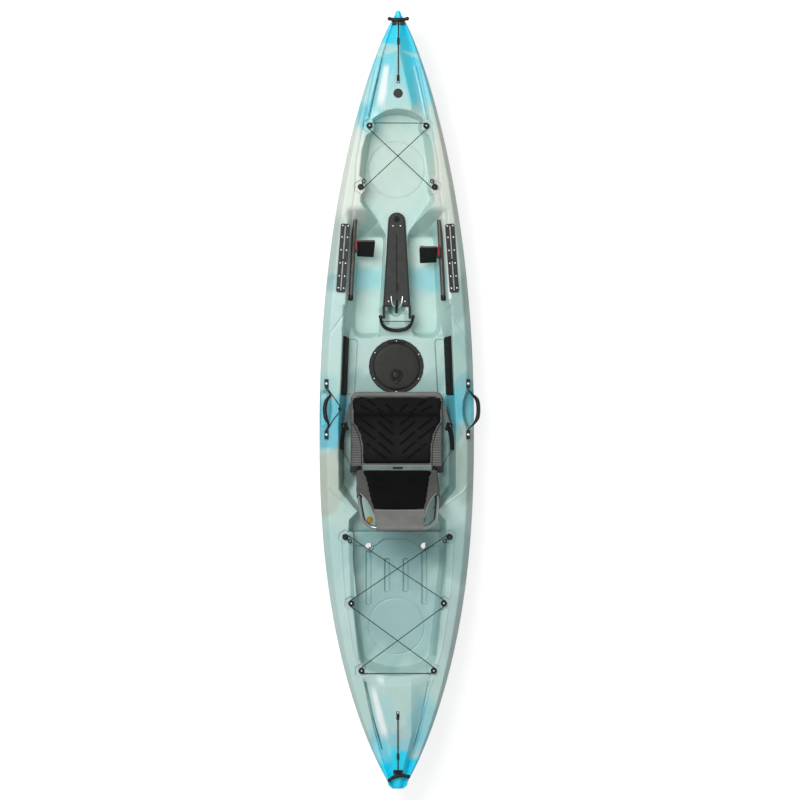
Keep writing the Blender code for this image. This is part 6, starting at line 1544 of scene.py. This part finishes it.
def make_side_pads():
    """Ribbed pads on the seat well's fore walls: on the wall's plane, thickness is an edge profile times a row of
    cross ribs of 10 mm pitch."""
    along = np.linspace(.01, .975, 150)[:, None]
    upward = np.linspace(.13, .95, 24)[None, :]
    start = np.stack([mix(.244, .232, along), mix(.020, .311, along), .135 + 0 * along], axis=2)
    stop = np.stack([mix(.273, .2607, along), mix(.020, .318, along), .270 + 0 * along], axis=2)
    base = start + (stop - start) * upward[..., None]
    out = unit(np.array([-.977, -.04, .21]))
    length = .30
    near_end = np.minimum(along - .01, .975 - along) * length / .010
    near_side = np.minimum(upward - .13, .95 - upward) * .14 / .010
    edge = np.clip(near_end, 0, 1) ** .5 * np.clip(near_side, 0, 1) ** .5
    rib = np.abs(np.sin(along * length * math.pi / .010))
    thick = .0012 + edge * (.0078 + .0018 * rib)
    shape = slab(base + out * thick[..., None], base + out * .0006)
    piece("side_pad_right_ribbed", shape, RUBBER, HULL, "grey_foam", "side_pad_right")
    piece("side_pad_left_ribbed", flipped(shape), RUBBER, HULL, "grey_foam", "side_pad_left")


make_side_pads()

# Carry handles

# routes of the two handles and, point by point, how many times as thick as the cord each is
HANDLE_RIGHT = [(.3415, .0695, .274), (.3415, .0525, .274), (.3500, .0415, .266), (.3605, .0287, .257),
                (.3860, 0, .240), (.3925, -.042, .237), (.3880, -.085, .240), (.3700, -.115, .252),
                (.3520, -.131, .265), (.3415, -.140, .274), (.3415, -.157, .274)]
HANDLE_LEFT = [(-.3415, .0695, .274), (-.3415, .0525, .274), (-.3330, .0405, .278), (-.3230, .0240, .2805),
               (-.3420, -.004, .2835), (-.3500, -.042, .2835), (-.3450, -.085, .2835), (-.3320, -.115, .2825),
               (-.3360, -.131, .277), (-.3415, -.140, .274), (-.3415, -.157, .274)]
HANDLE_FACTORS = [1, 1, 1.1, 1.5, 3.33, 3.33, 3.33, 1.7, 1.1, 1, 1]


def make_handles():
    """Carry handles: cord at both ends and a thick ribbed grip between, one tube whose radius changes."""
    for tag, route in (("right", HANDLE_RIGHT), ("left", HANDLE_LEFT)):
        path = curve(route, 14)
        place = np.linspace(0, len(route) - 1, len(path))
        factor = np.interp(place, np.arange(len(route)), HANDLE_FACTORS)
        rib = .00055 * np.cos(place * 2 * math.pi * 5) * share(factor, 2.9, 3.3)
        piece(f"carry_grip_{tag}", swept(path, circle(16), LINE * factor + rib), BLACK, f"carry_{tag}",
              "black_moulding", f"carry_handle_{tag}")
    places = [(way * .3415, y, .2800) for way in (1, -1) for y in (.079, -.1665)]
    piece("handle_anchor_screws", screws(places, 1.5), STEEL, HULL, "stainless_pin")


make_handles()

# Cords and hooks


def make_cords():
    """Held cords, each a round braid carried along the route of its CAD solid, and the bungees' end hooks."""
    paddle = [(-.335, .0615, .274), (-.335, .0535, .274), (-.300, .004, .2754), (-.2708, -.0389, .2754),
              (-.2695, -.043, .2754), (-.2708, -.0471, .2754), (-.310, -.096, .2754), (-.335, -.141, .274),
              (-.335, -.149, .274)]
    piece("paddle_leash", tube(paddle, CORD, 10), BRAID, HULL, "black_cord", "paddle_cord")
    bow = [(0, 1.795, .3838), (0, 1.7821, .3839), (0, 1.7346, .3836), (0, 1.734, .3836), (0, 1.704, .3834),
           (0, 1.7034, .3834), (0, 1.6803, .3833), (0, 1.5409, .3723), (0, 1.528, .3712)]
    factor = [1, 1, 1, 2.1, 2.1, 1, 1, 1, 1]
    piece("bow_toggle_line", swept(bow, circle(12), LINE * np.array(factor)), BRAID, HULL, "black_cord",
          "bow_toggle_cord")
    stern = [(0, -1.774, .3498), (0, -1.7246, .3483), (0, -1.724, .3483), (0, -1.696, .3475), (0, -1.6954, .3475),
             (0, -1.6803, .347), (0, -1.5409, .337), (0, -1.5055, .3348)]
    factor = [1, 1, 2.1, 2.1, 1, 1, 1, 1]
    piece("stern_toggle_line", swept(stern, circle(12), LINE * np.array(factor)), BRAID, HULL, "black_cord",
          "stern_toggle_cord")
    piece("bow_bungee_cord", tube(BOW_BUNGEE, CORD, 8), BRAID, HULL, "black_cord", "bow_bungee")
    piece("stern_bungee_cord", tube(STERN_BUNGEE, CORD, 8), BRAID, HULL, "black_cord", "stern_bungee")
    hooks = []
    for name, aim in (("deck_button_bow_2", (.45, .90)), ("deck_button_stern_1", (.75, -.66))):
        for tag, way in SIDES:
            cx, cy, top = over_node(f"{name}_{tag}")
            ahead = np.array([-way * aim[0], aim[1], 0])
            ahead = ahead / np.linalg.norm(ahead)
            beside = np.array([-ahead[1], ahead[0], 0])
            foot = np.array([cx, cy, top + .0022])
            turn = np.radians(np.linspace(-150, 170, 20))[:, None]
            loop = foot + ahead * (.030 + .0085 * np.cos(turn)) + beside * .0075 * np.sin(turn)
            path = np.vstack([[foot - ahead * .002, foot + ahead * .008], loop])
            hooks.append(tube(path, .0026, 8))
    piece("bungee_hooks", joined(*hooks), BLACK, HULL, "black_moulding")


# parts of the two bungees' routes
BOW_HALF = [(.012, 1.1606, .3239), (.1446, 1.0371, .3187), (.1459, 1.0359, .3186), (.1693, 1.0141, .3172),
            (.1759, 1.0109, .3172), (.1831, 1.0118, .3172), (.1887, 1.0165, .3172), (.1908, 1.0236, .3172),
            (.1886, 1.0306, .3172), (.183, 1.0353, .3172)]
BOW_TURN = [(.012, 1.1606, .3269), (.1452, 1.307, .3366), (.149, 1.3136, .3366), (.1484, 1.3211, .3366),
            (.1437, 1.327, .3366), (.1365, 1.3292, .3366), (0, 1.3292, .3366)]
STERN_END = [(-.0071, -.8075, .2881), (-.2156, -.667, .2811), (-.2175, -.6657, .2811), (-.244, -.6479, .2806),
             (-.2511, -.6457, .2806), (-.2581, -.6477, .2806), (-.2629, -.6533, .2806), (-.2638, -.6606, .2806),
             (-.2606, -.6672, .2806), (-.2543, -.6709, .2806)]
STERN_MIDDLE = [(.2299, -.967, .2897), (.2348, -.9734, .2897), (.2349, -.9814, .2897), (.2303, -.988, .2897),
                (.0244, -1.1394, .2941), (-.1815, -1.2907, .3044), (-.1861, -1.2972, .3044),
                (-.1861, -1.3051, .3044), (-.1814, -1.3114, .3044), (-.1739, -1.3139, .3044),
                (0, -1.3139, .3044)]


def mirror_route(points):
    """A route's mirror image, run backwards."""
    return [(-x, y, z) for x, y, z in reversed(points)]


# whole routes; the stern's second half is lifted 6 mm where it crosses the first
BOW_BUNGEE = (mirror_route(BOW_HALF[1:]) + [(-.012, 1.1606, .3299)] + BOW_TURN[1:]
              + mirror_route(BOW_TURN[1:-1]) + BOW_HALF)
STERN_BUNGEE = (STERN_END[:0:-1] + [(-.0071, -.8075, .2881)] + STERN_MIDDLE
                + [(x, y, z + (.006 if abs(x) < .03 and y > -1.2 else 0))
                   for x, y, z in mirror_route(STERN_MIDDLE[:-1])]
                + [(.0071, -.8075, .2821)] + [(-x, y, z) for x, y, z in STERN_END[1:]])
make_cords()


def toggle(line, middle, swell, stem, stem_radius):
    """A toggle: a bowed bar that swells at its middle and at both ends, and the stem under it."""
    bar = curve(line, 6)
    along = np.linspace(-1, 1, len(bar))
    radius = middle + .0016 * np.exp(-((1 - np.abs(along)) / .16) ** 2) + swell * np.exp(-(along / .4) ** 4)
    return joined(swept(bar, circle(16), radius), tube(stem, stem_radius, 12))


def make_ends():
    """Toggles at bow and stern, screws of the brackets and pad eyes, the bare badge disc and
    the button screws."""
    bow = toggle([(-.0430, 1.8250, .3890), (-.022, 1.8215, .3890), (0, 1.8200, .3890), (.022, 1.8215, .3890),
                  (.0430, 1.8260, .3890)], .0078, .0020,
                 [(0, 1.8200, .3890), (0, 1.8080, .3875), (0, 1.7950, .3840)], .0042)
    piece("bow_toggle_bar", bow, BLACK, "bow_grip", "black_moulding", "bow_toggle")
    stern = toggle([(-.0420, -1.8240, .3550), (-.028, -1.8120, .3550), (-.005, -1.8035, .3550),
                    (.024, -1.8010, .3550), (.0500, -1.8060, .3550)], .0080, .0010,
                   [(0, -1.8020, .3550), (0, -1.7930, .3540), (0, -1.7855, .3522)], .0040)
    piece("stern_toggle_bar", stern, BLACK, "stern_grip", "black_moulding", "stern_toggle")
    places = []
    for node, spots in (("bow_toggle_bracket", (-.0185, .0185)), ("stern_toggle_bracket", (-.016, .016))):
        low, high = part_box(node)
        places += [(x, (low[1] + high[1]) / 2, low[2] + .0125) for x in spots]
    for node, way in (("bow_pad_eye", -1), ("stern_pad_eye", 1)):
        low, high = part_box(node)
        places.append((0, (low[1] if way < 0 else high[1]) - way * .0065, low[2] + .0105))
    piece("end_screws", screws(places, .9), STEEL, HULL, "stainless_pin")
    # bare badge disc laid on the hood
    profile = [(0, .0020), (.0175, .0020), (.0182, .0012), (.0190, .0012), (.0197, .0022), (.0216, .0022),
               (.0222, .0012), (.0222, -.0020), (0, -.0020)]
    points, faces = revolved(profile, (0, 1.4705, 0), 40)
    points[:, 2] += deck_height(points[:, 0], points[:, 1])
    piece("hood_disc", (points, faces), PLATE, HULL, "grey_plate")
    places = [over_node(f"{name}_{tag}") for name in BUTTONS for tag, _ in SIDES]
    piece("button_screws", screws(places, .9), STEEL, HULL, "stainless_pin")


make_ends()


def underside(x, y):
    """Height of the hull's bottom at single points, from the same superellipse as its rings."""
    half, low, top = half_beam(y), keel(y), sheer(y)
    widest = mix(low, top, .62)
    power = mix(1.8, 3.0, half / HALF_BEAM)
    flat = np.minimum(.05, .3 * half)
    out = share(np.abs(x), flat, half) ** (power / 2)
    return widest - (widest - low) * (1 - out ** 2) ** (1 / power)


def make_foam():
    """The foam cores inside the hull, between the tightest places of its bottom and its deck."""
    for node in ("foam_block_bow", "foam_block_stern"):
        low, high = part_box(node)
        wide = (high[0] - low[0]) / 2 * .72
        outline = box_outline(-wide, low[1] + .004, wide, high[1] - .004, .02)
        gx, gy = np.meshgrid(np.linspace(-wide, wide, 21), np.linspace(low[1], high[1], 21))
        top = min(high[2], deck_height(gx.ravel(), gy.ravel()).min() - .008)
        foot = underside(gx.ravel(), gy.ravel()).max() + .006
        core = plate(outline, [(.004, foot), (0, foot + .004), (0, top - .005), (.006, top)])
        piece(node.replace("block", "core"), core, FOAM, HULL, "white_foam", node)


make_foam()


def make_scuppers():
    """Scupper tubes: a ring of one closed profile from a lip on the floor to a lip under the hull."""
    tubes = []
    angle = np.arange(8) * math.pi / 4
    for x, y, radius in SCUPPERS:
        rim_x, rim_y = x + (radius + .004) * np.cos(angle), y + (radius + .004) * np.sin(angle)
        floor = deck_height(rim_x, rim_y).max()
        base = underside(np.array([x - np.sign(x) * radius]), np.array([y]))[0]
        high = underside(np.array([x + np.sign(x) * radius]), np.array([y]))[0]
        profile = [(radius, floor - .001), (radius + .0015, floor + .0008), (radius + .0055, floor + .0004),
                   (radius + .0060, floor - .004), (radius + .0030, floor - .006), (radius + .0030, high + .006),
                   (radius + .0090, high + .003), (radius + .0085, base + .0005), (radius + .002, base - .0004),
                   (radius, base + .001)]
        tubes.append(ringed(profile, (x, y, 0), 32))
    points, faces = joined(*tubes)
    obj = make_mesh("scupper_tubes", points, faces, None, camouflage_and_painted_light(points[:, 0], points[:, 1]))
    turn_outward(obj.data)
    obj.data.shade_smooth()
    dress_hull(obj, HULL_FINISH)


make_scuppers()


# Studio: pale floor, one broad soft lamp from port, a weaker one from starboard, a sky brighter overhead


def seen_by(tree, *kinds):
    """1 for rays of the kinds named, 0 for every other ray."""
    path = add(tree, "ShaderNodeLightPath")
    seen, *others = [path.outputs[f"Is {kind} Ray"] for kind in kinds]
    for ray in others:
        seen = add(tree, "ShaderNodeMath", {0: seen, 1: ray}, operation="MAXIMUM").outputs[0]
    return seen


def studio():
    """A floor that stays white to the camera and keeps the shadow, a sky, and two lamps aimed at the middle."""
    floor = make_mesh("floor", [(-40, -40, 0), (40, -40, 0), (40, 40, 0), (-40, 40, 0)], [[[0, 1, 2, 3]]])
    floor.data.transform(Matrix.Translation((0, 0, -.0005)))
    material = bpy.data.materials.new("pale_studio_floor")
    tree = cleared(material)
    paint = add(tree, "ShaderNodeBsdfDiffuse", Color=(.40, .40, .40, 1))
    seen = seen_by(tree, "Camera", "Glossy")
    glow = add(tree, "ShaderNodeEmission", {"Strength": seen}, Color=(.78, .78, .78, 1))
    both = add(tree, "ShaderNodeAddShader", {0: paint.outputs[0], 1: glow.outputs[0]})
    add(tree, "ShaderNodeOutputMaterial", {"Surface": both.outputs[0]})
    floor.data.materials.append(material)
    world = bpy.data.worlds.new("studio_sky")
    bpy.context.scene.world = world
    tree = cleared(world)
    seen = seen_by(tree, "Camera", "Glossy", "Transmission")
    # brighter overhead, darker to starboard: .16 + .36 z - .15 x
    place = add(tree, "ShaderNodeTexCoord")
    apart = add(tree, "ShaderNodeSeparateXYZ", {"Vector": place.outputs["Generated"]})
    upward = add(tree, "ShaderNodeMath", {0: apart.outputs["Z"]}, {1: .36, 2: .16}, operation="MULTIPLY_ADD")
    level = add(tree, "ShaderNodeMath", {0: apart.outputs["X"], 2: upward.outputs[0]}, {1: -.15},
                operation="MULTIPLY_ADD")
    sky = add(tree, "ShaderNodeBackground", {"Strength": level.outputs[0]}, Color=(1, 1, 1, 1))
    white = add(tree, "ShaderNodeBackground", Color=(1, 1, 1, 1), Strength=1.0)
    both = add(tree, "ShaderNodeMixShader", {0: seen, 1: sky.outputs[0], 2: white.outputs[0]})
    add(tree, "ShaderNodeOutputWorld", {"Surface": both.outputs[0]})
    for name, place, size, power in (
        ("port_softbox", (-2.1, 2.0, 6.3), (2.4, 3.6), 300),
        ("starboard_fill", (4.2, -1.0, 4.0), (2.0, 4.0), 6),
    ):
        lamp = bpy.data.lights.new(name, "AREA")
        lamp.shape = "RECTANGLE"
        lamp.size, lamp.size_y = size
        lamp.energy = power
        obj = bpy.data.objects.new(name, lamp)
        bpy.context.scene.collection.objects.link(obj)
        obj.location = place
        obj.rotation_euler = Vector(place).to_track_quat("Z", "Y").to_euler()


def camera():
    """A long lens 22 m above the hull and a little to port of it, framed as in the photograph."""
    lens = bpy.data.cameras.new("camera")
    lens.sensor_width = 36
    lens.lens = 203.3
    lens.clip_end = 60
    obj = bpy.data.objects.new("camera", lens)
    bpy.context.scene.collection.objects.link(obj)
    # turned by the angle whose tangent is aside over the way down to the gunwales, so that they stay in place
    aside, height = -.88, 22
    obj.location = ((400 - CENTRE_LINE) * PIXEL + aside, 0, height)
    obj.rotation_euler = (0, math.atan(aside / (height - .20)), 0)
    bpy.context.scene.camera = obj


studio()
camera()
bpy.context.scene.view_settings.view_transform = "Standard"
